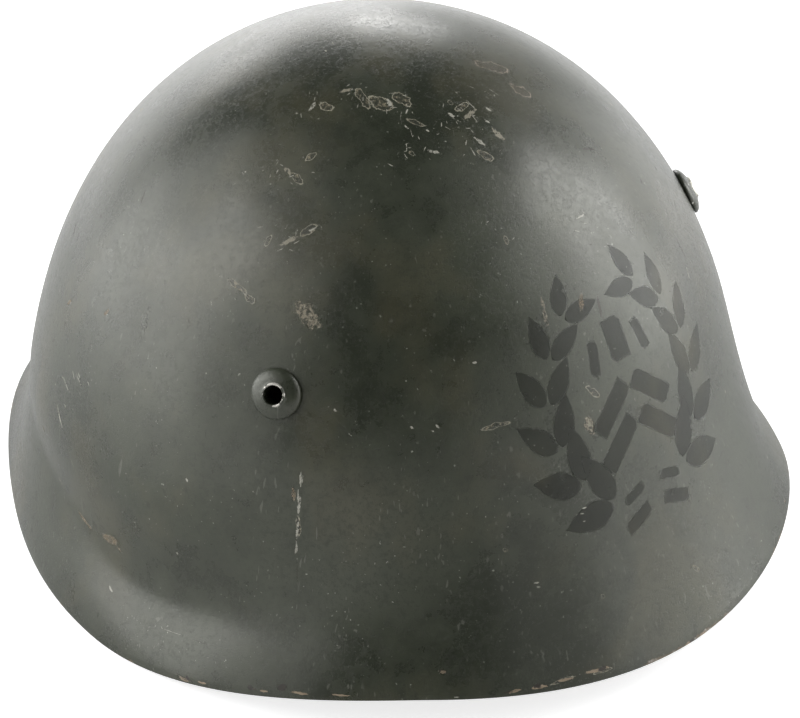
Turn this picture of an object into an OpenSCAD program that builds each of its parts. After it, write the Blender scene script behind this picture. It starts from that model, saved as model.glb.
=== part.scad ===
// Pressed steel combat helmet of the 1930s: a one-piece shell with a flared visor and nape,
// three hollow vent rivets, a sprung liner band with a tongued leather liner, and a leather
// chinstrap with a friction buckle that swings on two riveted hangers.
// Frame: +Z up, front towards -Y, rim flat on z = 0 from the ears round to the nape.

/* [Shell] */
// Height of the crown above the surface that the rim rests on
shell_height = 164.5; // [158:0.5:172]
// Half of the dome's width, without the flare
dome_half_width = 115.5; // [112:0.5:120]
// Reach of the dome forward of its centre
dome_front = 118; // [115:0.5:124]
// Reach of the dome behind its centre
dome_rear = 119; // [115:0.5:124]
// How far the dome's widest level lies below the rim
equator_depth = 29.5; // [20:0.5:40]
// Fullness of the dome's profile, where 2 is an ellipse
dome_fullness = 2.9; // [2.6:0.05:3.2]
// Thickness of the steel sheet
sheet = 1.2; // [0.9:0.1:1.5]

/* [Brim] */
// How far the visor flares out at the front
visor_flare = 18; // [12:0.5:24]
// How far the neck guard flares out at the back
nape_flare = 29.5; // [20:0.5:34]
// How far the rim is drawn in where no flare reaches
side_tuck = 1; // [0:0.25:3]
// How closely the visor keeps to the front, as a power
visor_focus = 3; // [2:0.5:6]
// How closely the neck guard keeps to the back, as a power
nape_focus = 21; // [12:1:26]
// Height over which the visor turns out
visor_rise = 70.5; // [56:0.5:76]
// Height over which the neck guard turns out
nape_rise = 52; // [44:0.5:60]
// Height of the visor's edge above the rest of the rim
visor_lift = 14; // [8:0.5:18]
// How far the visor's middle dips again
brow_dip = 4; // [0:0.5:6]
// Angle from the front at which the rim starts to lift
lift_start = 90; // [80:1:100]
// Angle from the front at which the rim has its full lift
lift_full = 36; // [30:1:60]
// Angle from the front over which the brow dips
dip_spread = 40; // [25:1:50]

/* [Vent rivets] */
// Angle of the two side vents from the front
vent_angle = 61; // [55:1:68]
// Height of the vents above the rim
vent_height = 97.5; // [92:0.5:104]
// Bore of the hollow rivet
vent_bore = 5.8; // [5:0.1:6.4]
// Wall of the hollow rivet's tube
vent_wall = 0.8; // [0.6:0.1:1]
// Diameter of the rivet's head
vent_head = 15.4; // [14:0.2:17]
// Height of the head's dome, measured as if it had no bore
vent_dome = 3.2; // [2.6:0.1:4.4]
// Diameter of the lip round the bore
vent_lip = 7.2; // [7:0.1:8.4]
// Rise of the lip above the dome
vent_lip_rise = 0.6; // [0.3:0.1:1]
// Height of the head's upright edge
vent_edge = 0.3; // [0.2:0.1:0.8]

/* [Liner band] */
// Room between the band and the shell at the brow and the nape
band_end_gap = 7.5; // [5.5:0.5:12]
// Room between the band and the shell at the sides
band_side_gap = 19; // [16:0.5:22]
// Height of the band's lower edge
band_bottom = 46; // [44:0.5:50]
// Width of the band's strip
band_width = 26; // [22:0.5:28]
// Thickness of the band's strip
band_sheet = 0.9; // [0.7:0.1:1.2]
// Length of the lap where the strip's ends are riveted
band_lap = 24; // [18:1:30]
// Distance between the two rivets of the lap
lap_rivet_pitch = 12; // [8:0.5:14]

/* [Leaf springs] */
// Width of each spring's pad and foot
leaf_width = 18; // [14:0.5:20]
// Width of the leg between them
leg_width = 13; // [9:0.5:14]
// Thickness of each spring
leaf_sheet = 1; // [0.8:0.1:1.2]
// Length of the spring's foot, which is riveted to the band
leaf_foot = 20; // [17:0.5:22]
// Distance between the two rivets of a foot
leaf_rivet_pitch = 10; // [8:0.5:12]
// How far the foot stands above the band
foot_over = 5; // [4:0.5:7]
// Height of the rivets above the foot's lower end
rivet_up = 8; // [6:0.5:9]

/* [Leather liner] */
// Thickness of the leather
leather = 1.8; // [1.4:0.1:2]
// Thickness of the felt strip behind it
felt = 3; // [2:0.25:3.5]
// Height of the crown of the tongues above the sweatband
tongue_rise = 60; // [52:0.5:66]
// Number of tongues
tongue_count = 8; // [7:1:9]
// Width of the slot between two tongues
tongue_slot = 5; // [4:0.5:8]
// Share of the liner's radius that the tongues leave open at the crown
tongue_opening = 0.3; // [0.25:0.01:0.36]
// Diameter of the lacing hole in each tip
lace_hole = 4; // [3:0.25:5]

/* [Chinstrap] */
// Width of the strap
strap_width = 15; // [12:0.5:16]
// Thickness of the strap's leather
strap_leather = 2; // [1.6:0.1:2.2]
// Depth of the strap's loop below its pivots
strap_depth = 125; // [112:1:130]
// Height of the strap's pivots
pivot_height = 56; // [54:0.5:58]
// Diameter of the wire of the rings
ring_wire = 2.5; // [2:0.1:3]
// Length of each hanger from its pivot to the ring's bar
hanger_length = 18; // [16:0.5:20]
// Distance between the ring's two long bars
ring_pitch = 10.5; // [9.5:0.5:12]
// Inward lean of the strap's straight runs, in degrees
strap_lean = 10; // [6:0.5:11]

/* [Hidden] */
$fn = 48;

PAINT = [0.36, 0.39, 0.36];
WORN_STEEL = [0.55, 0.55, 0.52];
BAND_PAINT = [0.22, 0.23, 0.22];
LEATHER = [0.42, 0.36, 0.27];
FELT = [0.45, 0.44, 0.38];

// Clearances
slip = 0.1;     // between a rivet and its hole, and between stacked layers
seat = 0.05;    // between faces that are held together
run = 0.4;      // between a swinging piece and what it passes

// Facets of the shell and of the liner
sectors = 96;
crown_rings = 14;
brim_rings = 10;
liner_sides = 96;
tongue_steps = 9;
tongue_columns = 8;

// Plain geometry
function unit(v) = v / norm(v);
function lerp(a, b, t) = a + (b - a) * t;
function smooth(t) = let (u = min(1, max(0, t))) u * u * (3 - 2 * u);
function from_front(a) = abs(a > 180 ? a - 360 : a);

// Rim of the shell, by the angle from the front
function rim_z(a) =
    visor_lift * smooth((lift_start - from_front(a)) / (lift_start - lift_full))
    - brow_dip * smooth((dip_spread - from_front(a)) / dip_spread);
function rim_flare(a) =
    -side_tuck + (visor_flare + side_tuck) * pow(abs(cos(a / 2)), visor_focus)
    + (nape_flare + side_tuck) * pow(abs(sin(a / 2)), nape_focus);
function flare_rise(a) = lerp(visor_rise, nape_rise, (1 - cos(a)) / 2);

// Dome of the shell: q runs from 0 at the crown, in degrees, and sets both the height and
// the share of the plan's radius.
dome_depth = shell_height + equator_depth;
flare_top = max(visor_rise, nape_rise) + 4;
function dome_z(q) = -equator_depth + dome_depth * pow(cos(q), 2 / dome_fullness);
function dome_q(z) = acos(pow((z + equator_depth) / dome_depth, dome_fullness / 2));
function plan_out(a) = let (reach = cos(a) > 0 ? dome_front : dome_rear)
    unit([sin(a) / dome_half_width, -cos(a) / reach, 0]);
function shell_point(a, q) =
    let (
        reach = cos(a) > 0 ? dome_front : dome_rear,
        z = dome_z(q),
        turn = min(1, max(0, (rim_z(a) + flare_rise(a) - z) / flare_rise(a))),
        plan = [dome_half_width * sin(a), -reach * cos(a), 0] * sin(q)
    )
    plan + plan_out(a) * rim_flare(a) * turn * turn + [0, 0, z];
function shell_normal(a, q) =
    let (
        round = shell_point(a + 1, q) - shell_point(a - 1, q),
        down = shell_point(a, min(89, q + 0.5)) - shell_point(a, q - 0.5)
    )
    unit(cross(down, round));

// The whole helmet is set so that the middle of its length is at y = 0.
function rim_point(a) = shell_point(a, dome_q(rim_z(a)));
length_shift = -(rim_point(0).y + rim_point(180).y) / 2;

// The shell's rings: even steps over the crown, then even steps of height down to the rim.
function ring_q(a, j) = j <= crown_rings
    ? dome_q(flare_top) * j / crown_rings
    : dome_q(lerp(flare_top, rim_z(a), (j - crown_rings) / brim_rings));
// The sheet's inner face: square to the sheet, but level with the outer face at the cut rim.
function inner_point(a, j) =
    let (q = ring_q(a, j), n = shell_normal(a, q), p = shell_point(a, q))
    j < crown_rings + brim_rings
    ? p - n * sheet
    : p - [n.x, n.y, 0] * sheet / (n.x * n.x + n.y * n.y);

// Where a vent sits, and the helmet's frame there: x level, y up the shell, z outwards
function vent_q() = dome_q(vent_height);
function frame_at(p, out) =
    let (across = unit(cross([0, 0, 1], out)), up = cross(out, across))
    [
        [across.x, up.x, out.x, p.x],
        [across.y, up.y, out.y, p.y],
        [across.z, up.z, out.z, p.z],
        [0, 0, 0, 1]
    ];
module at_vent(a) {
    multmatrix(frame_at(shell_point(a, vent_q()), shell_normal(a, vent_q()))) children();
}

// The band keeps clear of the shell's inner face at the height of the band's upper edge.
function inner_reach(a, z) = let (p = shell_point(a, dome_q(z))) norm([p.x, p.y]) - sheet;
band_top = band_bottom + band_width;
band_half_length = min(inner_reach(0, band_top), inner_reach(180, band_top)) - band_end_gap;
band_half_width = inner_reach(90, band_top) - band_side_gap;

// Ovals of the liner, at a given distance outside the band's outer face
function oval(side, e) =
    [(band_half_width + side) * sin(e), -(band_half_length + side) * cos(e)];
function oval_out(e) =
    unit([sin(e) / band_half_width, -cos(e) / band_half_length, 0]);
function band_point(e, side, z) = let (o = oval(0, e)) [o.x, o.y, z] + oval_out(e) * side;
module oval_ring(outside, inside, z, height) {
    translate([0, 0, z])
        linear_extrude(height)
            difference() {
                polygon([for (i = [0:liner_sides - 1]) oval(outside, i * 360 / liner_sides)]);
                polygon([for (i = [0:liner_sides - 1]) oval(inside, i * 360 / liner_sides)]);
            }
}
module at_band(e, side, z) {
    multmatrix(frame_at(band_point(e, side, z), oval_out(e))) children();
}
// Angle on the oval that is a given length from another one
function along_band(e, length) =
    e + length / norm(oval(0, e + 0.5) - oval(0, e - 0.5));

// Bent strips: a flat path is rounded at its corners and given a thickness.
function rounded_corner(a, b, c, r, steps = 6) =
    let (
        u = unit(a - b),
        v = unit(c - b),
        half = acos(max(-1, min(1, u * v))) / 2,
        centre = b + unit(u + v) * r / sin(half),
        first = b + u * r / tan(half) - centre,
        turn = (90 - half) * 2 * (u.x * v.y - u.y * v.x > 0 ? -1 : 1)
    )
    [
        for (i = [0:steps])
            let (w = turn * i / steps)
            centre + [first.x * cos(w) - first.y * sin(w), first.x * sin(w) + first.y * cos(w)]
    ];
function rounded_path(points, r) = [
    for (i = [0:len(points) - 1])
        each i == 0 || i == len(points) - 1
            ? [points[i]]
            : rounded_corner(points[i - 1], points[i], points[i + 1], r)
];
function path_side(path, side) = [
    for (i = [0:len(path) - 1])
        let (
            before = unit(path[max(1, i)] - path[max(1, i) - 1]),
            after = unit(path[min(len(path) - 1, i + 1)] - path[min(len(path) - 1, i + 1) - 1]),
            middle = unit(before + after)
        )
        path[i] + [-middle.y, middle.x] * side / (middle * before)
];
module strip(path, thickness, width) {
    near = path_side(path, thickness / 2);
    far = path_side(path, -thickness / 2);
    linear_extrude(width, center = true)
        polygon(concat(near, [for (i = [len(far) - 1:-1:0]) far[i]]));
}

module placed() {
    translate([0, length_shift, 0]) children();
}

// Shell

module shell_blank() {
    rings = crown_rings + brim_rings;
    step = 360 / sectors;
    outer = [
        for (j = [1:rings], i = [0:sectors - 1]) shell_point(i * step, ring_q(i * step, j))
    ];
    inner = [for (j = [1:rings], i = [0:sectors - 1]) inner_point(i * step, j)];
    crown = [[0, 0, shell_height], [0, 0, shell_height - sheet]];
    count = rings * sectors;
    top = 2 * count;
    function at(j, i) = j * sectors + i % sectors;
    polyhedron(
        points = concat(outer, inner, crown),
        faces = concat(
            [for (i = [0:sectors - 1]) [top, at(0, i + 1), at(0, i)]],
            [for (i = [0:sectors - 1]) [top + 1, count + at(0, i), count + at(0, i + 1)]],
            [
                for (j = [0:rings - 2], i = [0:sectors - 1])
                    each [
                        [at(j, i), at(j + 1, i + 1), at(j + 1, i)],
                        [at(j, i), at(j, i + 1), at(j + 1, i + 1)],
                        [count + at(j, i), count + at(j + 1, i), count + at(j + 1, i + 1)],
                        [count + at(j, i), count + at(j + 1, i + 1), count + at(j, i + 1)]
                    ]
            ],
            [
                for (i = [0:sectors - 1])
                    each [
                        [at(rings - 1, i), count + at(rings - 1, i + 1), count + at(rings - 1, i)],
                        [at(rings - 1, i), at(rings - 1, i + 1), count + at(rings - 1, i + 1)]
                    ]
            ]
        )
    );
}

vent_tube = vent_bore / 2 + vent_wall;
vents = [-vent_angle, vent_angle, 180];

module shell() {
    color(PAINT)
        placed()
            difference() {
                shell_blank();
                for (a = vents)
                    at_vent(a) cylinder(r = vent_tube + slip, h = 20, center = true);
            }
}

// Vent rivets: a domed head with a flat lip outside, the tube through the shell and the
// spring, and the rolled end that holds the spring inside
leaf_radius = leaf_width / 2;
knee = 11;        // from the vent's axis down to the spring's knee
knee_bend = 6;    // radius of the spring's bend
leg_step = 0.05;  // how far the leg lies below the pad's faces
leg_grip = 1.2;   // how far the leg reaches down into the foot
// Tightest curve of the shell at the vents, round it and down it
function curve_between(a1, q1, a2, q2) =
    norm(shell_point(a1, q1) - shell_point(a2, q2))
    / (acos(shell_normal(a1, q1) * shell_normal(a2, q2)) * PI / 180);
round_curve = min([for (a = vents) curve_between(a - 3, vent_q(), a + 3, vent_q())]);
down_curve = min([for (a = vents) curve_between(a, vent_q() - 3, a, vent_q() + 3)]);
facet_sag = 0.1;    // how far the shell's facets lie inside its true curve
leaf_drop =
    sheet + leaf_radius * leaf_radius / (2 * round_curve) + knee * knee / (2 * down_curve)
    + facet_sag + seat;
roll_reach = 1.7;
roll_height = 0.9;
lip_taper = 0.2;

module vent_rivet(a) {
    inside = -(leaf_drop + leaf_sheet + slip);
    arc_steps = 10;
    head_radius = vent_head / 2;
    lip_radius = vent_lip / 2;
    lip_turn = asin(lip_radius / head_radius);
    lip_foot = lerp(vent_edge, vent_dome, cos(lip_turn));
    color(PAINT)
        placed()
            at_vent(a)
                rotate_extrude()
                    polygon(concat(
                        [
                            [vent_bore / 2, inside - roll_height],
                            [vent_bore / 2, lip_foot + vent_lip_rise],
                            [lip_radius - lip_taper, lip_foot + vent_lip_rise]
                        ],
                        [
                            for (i = [0:arc_steps])
                                let (w = lerp(lip_turn, 90, i / arc_steps))
                                [head_radius * sin(w), lerp(vent_edge, vent_dome, cos(w))]
                        ],
                        [
                            [head_radius, 0],
                            [vent_tube, 0],
                            [vent_tube, inside],
                            [vent_tube + roll_reach, inside],
                            [vent_tube + roll_reach - 0.3, inside - roll_height]
                        ]
                    ));
}

// Leaf springs: a round pad under the vent, a bent leg, and a foot curved to the band
foot_top = band_top + foot_over;
foot_bottom = foot_top - leaf_foot;
rivet_level = foot_bottom + rivet_up;
rivet_shank = 1.6;
rivet_head = 2.8;
rivet_rise = 1.3;

// Level direction out of the shell at a vent
function vent_level(a) = let (n = shell_normal(a, vent_q())) unit([n.x, n.y, 0]);
// Distance inwards from the vent to the band's outer face
function vent_to_band(a) =
    let (
        p = shell_point(a, vent_q()),
        d = vent_level(a),
        w = band_half_width,
        l = band_half_length,
        qa = d.x * d.x / (w * w) + d.y * d.y / (l * l),
        qb = -2 * (p.x * d.x / (w * w) + p.y * d.y / (l * l)),
        qc = p.x * p.x / (w * w) + p.y * p.y / (l * l) - 1
    )
    (-qb - sqrt(qb * qb - 4 * qa * qc)) / (2 * qa);
function foot_angle(a) =
    let (p = shell_point(a, vent_q()) - vent_level(a) * vent_to_band(a))
    atan2(p.x / band_half_width, -p.y / band_half_length);

module leaf_spring(a) {
    p = shell_point(a, vent_q());
    n = shell_normal(a, vent_q());
    d = vent_level(a);
    across = cross(d, [0, 0, 1]);
    e = foot_angle(a);
    out = [norm([n.x, n.y]), n.z];
    down = [out.y, -out.x];
    leg_start = -out * (leaf_drop + leaf_sheet / 2 + leg_step);
    foot_side = -vent_to_band(a) + seat + leaf_sheet / 2;
    profile = rounded_path(
        [leg_start, leg_start + down * knee, [foot_side, foot_top - leg_grip - vent_height]],
        knee_bend
    );
    color(BAND_PAINT)
        placed()
            difference() {
                union() {
                    at_vent(a)
                        translate([0, 0, -leaf_drop - leaf_sheet])
                            cylinder(r = leaf_radius, h = leaf_sheet);
                    multmatrix([
                        [d.x, 0, across.x, p.x],
                        [d.y, 0, across.y, p.y],
                        [0, 1, 0, p.z],
                        [0, 0, 0, 1]
                    ])
                        strip(profile, leaf_sheet, leg_width);
                    intersection() {
                        oval_ring(seat + leaf_sheet, seat, foot_bottom, leaf_foot);
                        at_band(e, 0, foot_bottom + leaf_foot / 2)
                            cube([leaf_width, leaf_foot + 2, 12], center = true);
                    }
                }
                at_vent(a)
                    cylinder(r = vent_tube + slip, h = 20, center = true);
                for (side = [-0.5, 0.5])
                    at_band(along_band(e, side * leaf_rivet_pitch), 0, rivet_level)
                        cylinder(r = rivet_shank + slip, h = 8, center = true);
            }
}

// Rivets: flush inside the band, with a round head outside
module rivet(grip) {
    translate([0, 0, -band_sheet + seat])
        cylinder(r = rivet_shank, h = grip + band_sheet + rivet_rise / 2);
    translate([0, 0, grip + slip])
        rotate_extrude()
            polygon(concat(
                [[0, 0]],
                [for (w = [0:15:90]) [rivet_head * cos(w), rivet_rise * sin(w)]]
            ));
}

module leaf_rivets() {
    color(BAND_PAINT)
        placed()
            for (a = vents, side = [-0.5, 0.5])
                at_band(along_band(foot_angle(a), side * leaf_rivet_pitch), 0, rivet_level)
                    rivet(seat + leaf_sheet);
}

// Liner band: an oval strip whose ends lap behind the left ear
lap_angle = 128;
lap_level = band_bottom + band_width / 2 + 4;

module liner_band() {
    color(BAND_PAINT)
        placed()
            difference() {
                union() {
                    oval_ring(0, -band_sheet, band_bottom, band_width);
                    intersection() {
                        oval_ring(band_sheet, -band_sheet / 2, lap_bottom, lap_height);
                        at_band(lap_angle, 0, lap_bottom + lap_height / 2)
                            cube([band_lap, lap_height + 2, 12], center = true);
                    }
                }
                for (a = vents, side = [-0.5, 0.5])
                    at_band(along_band(foot_angle(a), side * leaf_rivet_pitch), 0, rivet_level)
                        cylinder(r = rivet_shank + slip, h = 8, center = true);
                for (side = [-0.5, 0.5])
                    at_band(along_band(lap_angle, side * lap_rivet_pitch), 0, lap_level)
                        cylinder(r = rivet_shank + slip, h = 8, center = true);
                for (side = [-1, 1])
                    translate([side * band_half_width, 0, pivot_height])
                        rotate([0, 90, 0])
                            cylinder(r = pivot_shank + slip, h = 8, center = true);
            }
}

module band_rivets() {
    color(BAND_PAINT)
        placed()
            for (side = [-0.5, 0.5])
                at_band(along_band(lap_angle, side * lap_rivet_pitch), 0, lap_level)
                    rivet(band_sheet);
}

// Felt and leather
felt_face = -band_sheet - slip;
leather_face = felt_face - felt - slip;
hem_top = band_bottom + 5;
hem_bottom = band_bottom - seat - leather;
sweatband_top = band_top + 2;
lap_bottom = hem_top + 1;
lap_height = band_top - lap_bottom;
tongue_base = sweatband_top;

module felt_strip() {
    color(FELT)
        placed()
            oval_ring(felt_face, felt_face - felt, band_bottom + 1, band_width - 2);
}

function tongue_half(v) =
    let (
        tilt = tongue_reach * v,
        radius = (band_half_width + band_half_length) / 2 * cos(tilt),
        taper = v < tip_start ? 1 : sqrt(1 - pow((v - tip_start) / (tip_end - tip_start), 2))
    )
    (180 / tongue_count - tongue_slot / 2 / radius * 180 / PI) * taper;
tongue_reach = acos(tongue_opening);
tip_start = 0.82;
tip_end = 1.02;
tongue_leather = leather - 2 * slip;

// A point on the liner's dome: e round the oval, v from the sweatband to the tip
function liner_point(e, v, side) =
    let (
        tilt = tongue_reach * v,
        w = band_half_width + leather_face + side,
        l = band_half_length + leather_face + side
    )
    [w * sin(e) * cos(tilt), -l * cos(e) * cos(tilt), tongue_base + (tongue_rise + side) * sin(tilt)];

module tongue(e) {
    cols = tongue_columns;
    rows = tongue_steps;
    function grid(side) = [
        for (j = [0:rows], i = [0:cols])
            liner_point(e + tongue_half(j / rows) * (2 * i / cols - 1), j / rows, side)
    ];
    count = (rows + 1) * (cols + 1);
    function at(j, i) = j * (cols + 1) + i;
    border = concat(
        [for (i = [0:cols - 1]) at(0, i)],
        [for (j = [0:rows - 1]) at(j, cols)],
        [for (i = [cols:-1:1]) at(rows, i)],
        [for (j = [rows:-1:1]) at(j, 0)]
    );
    polyhedron(
        points = concat(grid(-slip), grid(-slip - tongue_leather)),
        faces = concat(
            [
                for (j = [0:rows - 1], i = [0:cols - 1])
                    each [
                        [at(j, i), at(j + 1, i), at(j + 1, i + 1)],
                        [at(j, i), at(j + 1, i + 1), at(j, i + 1)],
                        [count + at(j, i), count + at(j + 1, i + 1), count + at(j + 1, i)],
                        [count + at(j, i), count + at(j, i + 1), count + at(j + 1, i + 1)]
                    ]
            ],
            [
                for (i = [0:len(border) - 1])
                    let (p = border[i], q = border[(i + 1) % len(border)])
                    each [[p, q, count + q], [p, count + q, count + p]]
            ]
        )
    );
}

module sweatband() {
    color(LEATHER)
        placed()
            union() {
                oval_ring(leather_face, leather_face - leather, hem_bottom, sweatband_top - hem_bottom);
                oval_ring(seat + leather, leather_face - leather / 2, hem_bottom, leather);
                oval_ring(seat + leather, seat, hem_bottom, hem_top - hem_bottom);
            }
}

module liner_tongues() {
    hole_place = 0.9;
    color(LEATHER)
        placed()
            for (k = [0:tongue_count - 1])
                let (e = (k + 0.5) * 360 / tongue_count)
                difference() {
                    tongue(e);
                    translate(liner_point(e, hole_place, -leather / 2))
                        rotate([0, (90 - tongue_reach * hole_place) * sin(e), 0])
                            cylinder(d = lace_hole, h = 12, center = true);
                }
}

// Chinstrap hangers: shouldered rivets hold a steel tab that swings on each side
pivot_shank = 2;
pivot_shoulder = 3.4;
pivot_head = 4;
pivot_head_rise = 1.4;
hanger_sheet = 1;
hanger_width = 12;
hanger_face = band_half_width + seat + leather + run;    // inner face of the tab
ring_hole = ring_wire / 2 + slip;
eye_radius = ring_hole + hanger_sheet;
eye_x = hanger_face + hanger_sheet + ring_hole;

// At rest the strap lies forward on the surface that the rim stands on. The strap's own
// frame has x across the helmet, y down the strap and z along its width.
rest_gap = 0.5;
function rest_sine(s) = (pivot_height - rest_gap - strap_width / 2 * sqrt(1 - s * s)) / strap_depth;
rest_tilt = asin(rest_sine(rest_sine(rest_sine(0.4))));

module on_strap() {
    translate([0, length_shift, pivot_height])
        rotate([180 + rest_tilt, 0, 0])
            children();
}

module pivot_rivet(side) {
    inner_end = band_half_width - band_sheet + seat;
    hanger_back = hanger_face + hanger_sheet + slip;
    color(BAND_PAINT)
        translate([0, length_shift, pivot_height])
            rotate([0, side * 90, 0]) {
                translate([0, 0, inner_end])
                    cylinder(r = pivot_shank, h = hanger_back + seat - inner_end);
                translate([0, 0, band_half_width + seat])
                    cylinder(r = pivot_shoulder, h = hanger_face - slip - band_half_width - seat);
                translate([0, 0, hanger_back])
                    rotate_extrude()
                        polygon(concat(
                            [[0, 0]],
                            [for (w = [0:15:90]) [pivot_head * cos(w), pivot_head_rise * sin(w)]]
                        ));
            }
}

module hanger(side) {
    color(BAND_PAINT)
        on_strap()
            difference() {
                union() {
                    translate([side * hanger_face, 0, 0])
                        rotate([0, side * 90, 0])
                            cylinder(r = hanger_width / 2, h = hanger_sheet);
                    translate([side * (hanger_face + hanger_sheet / 2), hanger_length / 2, 0])
                        cube([hanger_sheet, hanger_length, hanger_width], center = true);
                    translate([side * eye_x, hanger_length, 0])
                        cylinder(r = eye_radius, h = hanger_width, center = true);
                }
                translate([side * eye_x, hanger_length, 0])
                    cylinder(r = ring_hole, h = hanger_width + 2, center = true);
                rotate([0, side * 90, 0])
                    cylinder(r = pivot_shank + slip, h = hanger_face + 10);
            }
}

// A straight run of the strap: x outwards and y along it, from the ring's bar in the hanger
module on_run(side) {
    on_strap()
        translate([side * eye_x, hanger_length, 0])
            rotate([0, 0, side * strap_lean])
                children();
}

ring_inside = strap_width / 2 + 0.9;
ring_corner = 2;
module strap_ring(side) {
    wire = ring_wire / 2;
    half = ring_inside + wire;
    color(WORN_STEEL)
        on_run(side) {
            for (y = [0, ring_pitch])
                translate([0, y, 0])
                    cylinder(r = wire, h = 2 * (half - ring_corner), center = true);
            for (z = [-half, half])
                translate([0, ring_corner, z])
                    rotate([-90, 0, 0])
                        cylinder(r = wire, h = ring_pitch - 2 * ring_corner);
            for (far = [0, 1], top = [0, 1])
                translate([
                    0,
                    far ? ring_pitch - ring_corner : ring_corner,
                    (2 * top - 1) * (half - ring_corner)
                ])
                    rotate([0, 90, 0])
                        rotate([0, 0, top ? (far ? 90 : 180) : (far ? 0 : 270)])
                            rotate_extrude(angle = 90)
                                translate([ring_corner, 0])
                                    circle(r = wire);
        }
}

// Friction buckle on the left run: two fixed bars, and a bar that slides in the side rails
run_end = 62;
buckle_top = 24;
buckle_bar_radius = 1.5;
bight = buckle_bar_radius + slip;
loop_bar = bight + strap_leather / 2;
bar_travel = 2;
bar_place = buckle_top + ring_hole + strap_leather + run + loop_bar + strap_leather / 2 + bar_travel;
buckle_foot = bar_place + 7.3;
bar_pin = 0.8;
rail = 2.2;
rail_depth = 3.8;
rail_inside = strap_width / 2 + 1.1;
rail_end = 2.2;

module buckle_frame() {
    color(WORN_STEEL)
        on_run(1)
            difference() {
                union() {
                    for (y = [buckle_top, buckle_foot])
                        translate([0, y, 0])
                            cylinder(r = ring_wire / 2, h = 2 * rail_inside + rail, center = true);
                    for (side = [-1, 1])
                        translate([0, 0, side * (rail_inside + rail / 2)])
                            linear_extrude(rail, center = true)
                                translate([-rail_depth / 2, buckle_top - rail_end])
                                    square([rail_depth, buckle_foot - buckle_top + 2 * rail_end]);
                }
                for (side = [-1, 1])
                    translate([0, 0, side * (rail_inside + rail / 2)])
                        translate([-bar_pin - slip, bar_place - bar_travel - bar_pin - slip, -rail])
                            cube([2 * (bar_pin + slip), bar_travel + 2 * (bar_pin + slip), 2 * rail]);
            }
}

module buckle_bar() {
    color(WORN_STEEL)
        on_run(1)
            translate([0, bar_place, 0]) {
                cylinder(r = buckle_bar_radius, h = 2 * (rail_inside - slip), center = true);
                cylinder(r = bar_pin, h = 2 * (rail_inside + rail - 0.2), center = true);
            }
}

// Straps
function bezier(a, b, c, d, t) =
    let (s = 1 - t) a * s * s * s + b * 3 * s * s * t + c * 3 * s * t * t + d * t * t * t;
// From a straight run's frame to the strap's frame
function from_run(side, p) = [
    side * eye_x + p.x * cos(side * strap_lean) - p.y * sin(side * strap_lean),
    hanger_length + p.x * sin(side * strap_lean) + p.y * cos(side * strap_lean)
];
layer = strap_leather + slip;            // from the middle of one layer to the next
tail_side = -(ring_wire / 2 + slip + strap_leather / 2);
standing_side = tail_side - layer;
loop_side = ring_hole + strap_leather / 2;
lap_end = 23;

// The belt line that crosses between the sliding bar and the foot bar of the buckle
foot_bar = -tail_side;
cross_angle = asin((loop_bar + foot_bar) / (buckle_foot - bar_place));
neck = 40;       // angle at which a folded end leaves the ring's bar
fold_start = 5;  // from the ring's bar to where the folded layers lie together
tail_over = 1.5; // how far a tail runs past the layer below it
curve_steps = 14;
curve_pull = 30;  // how stiffly the strap leaves its straight runs
chin_pull = 33;   // and how broad its bottom is

module strap_long() {
    side = standing_side;
    tail = tail_side;
    // Up from the tail, over the foot bar, round the sliding bar, and down the standing part
    left = [
        [tail, run_end + tail_over],
        for (k = [0:3])
            let (w = cross_angle * k / 3) [tail * cos(w), buckle_foot + tail * sin(w)],
        for (k = [0:2])
            let (w = cross_angle * (2 - k) / 2) [loop_bar * cos(w), bar_place + loop_bar * sin(w)],
        for (w = [0:22.5:180]) [loop_bar * cos(w), bar_place - bar_travel - loop_bar * sin(w)],
        [-loop_bar, bar_place],
        [side, buckle_foot - loop_bar / 2],
        [side, run_end]
    ];
    // The folded end on the right ring
    right = [
        [layer / 2, run_end],
        [layer / 2, ring_pitch + fold_start],
        for (w = [360 - neck:-20:neck]) [-loop_side * sin(w), ring_pitch + loop_side * cos(w)],
        [-layer / 2, ring_pitch + fold_start],
        [-layer / 2, lap_end + tail_over]
    ];
    left_end = from_run(1, [side, run_end]);
    right_start = from_run(-1, [-layer / 2, run_end]);
    lean = [sin(strap_lean), cos(strap_lean)];
    left_bow = [
        for (i = [1:curve_steps])
            bezier(
                left_end,
                left_end + [-lean.x, lean.y] * curve_pull,
                [chin_pull, strap_depth],
                [0, strap_depth],
                i / curve_steps
            )
    ];
    right_bow = [
        for (i = [1:curve_steps])
            bezier(
                [0, strap_depth],
                [-chin_pull, strap_depth],
                right_start + [lean.x, lean.y] * curve_pull,
                right_start,
                i / curve_steps
            )
    ];
    path = concat(
        [for (p = left) from_run(1, p)],
        left_bow,
        right_bow,
        [for (i = [1:len(right) - 1]) from_run(-1, [-right[i].x, right[i].y])]
    );
    color(LEATHER)
        on_strap()
            difference() {
                strip(path, strap_leather, strap_width);
                strap_rivet_hole(-1);
            }
}

module strap_short() {
    // A strip folded round the ring's bar and the buckle's top bar, its ends lapped between
    color(LEATHER)
        on_run(1)
            difference() {
                union() {
                    for (y = [ring_pitch, buckle_top])
                        translate([0, y, 0])
                            cylinder(r = ring_hole + strap_leather, h = strap_width, center = true);
                    translate([-strap_leather - slip / 2, ring_pitch, -strap_width / 2])
                        cube([2 * strap_leather + slip, buckle_top - ring_pitch, strap_width]);
                }
                for (y = [ring_pitch, buckle_top])
                    translate([0, y, 0])
                        cylinder(r = ring_hole, h = strap_width + 2, center = true);
                rotate([0, 0, -strap_lean])
                    translate([-eye_x, -hanger_length, 0])
                        strap_rivet_hole(1);
            }
}

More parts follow.
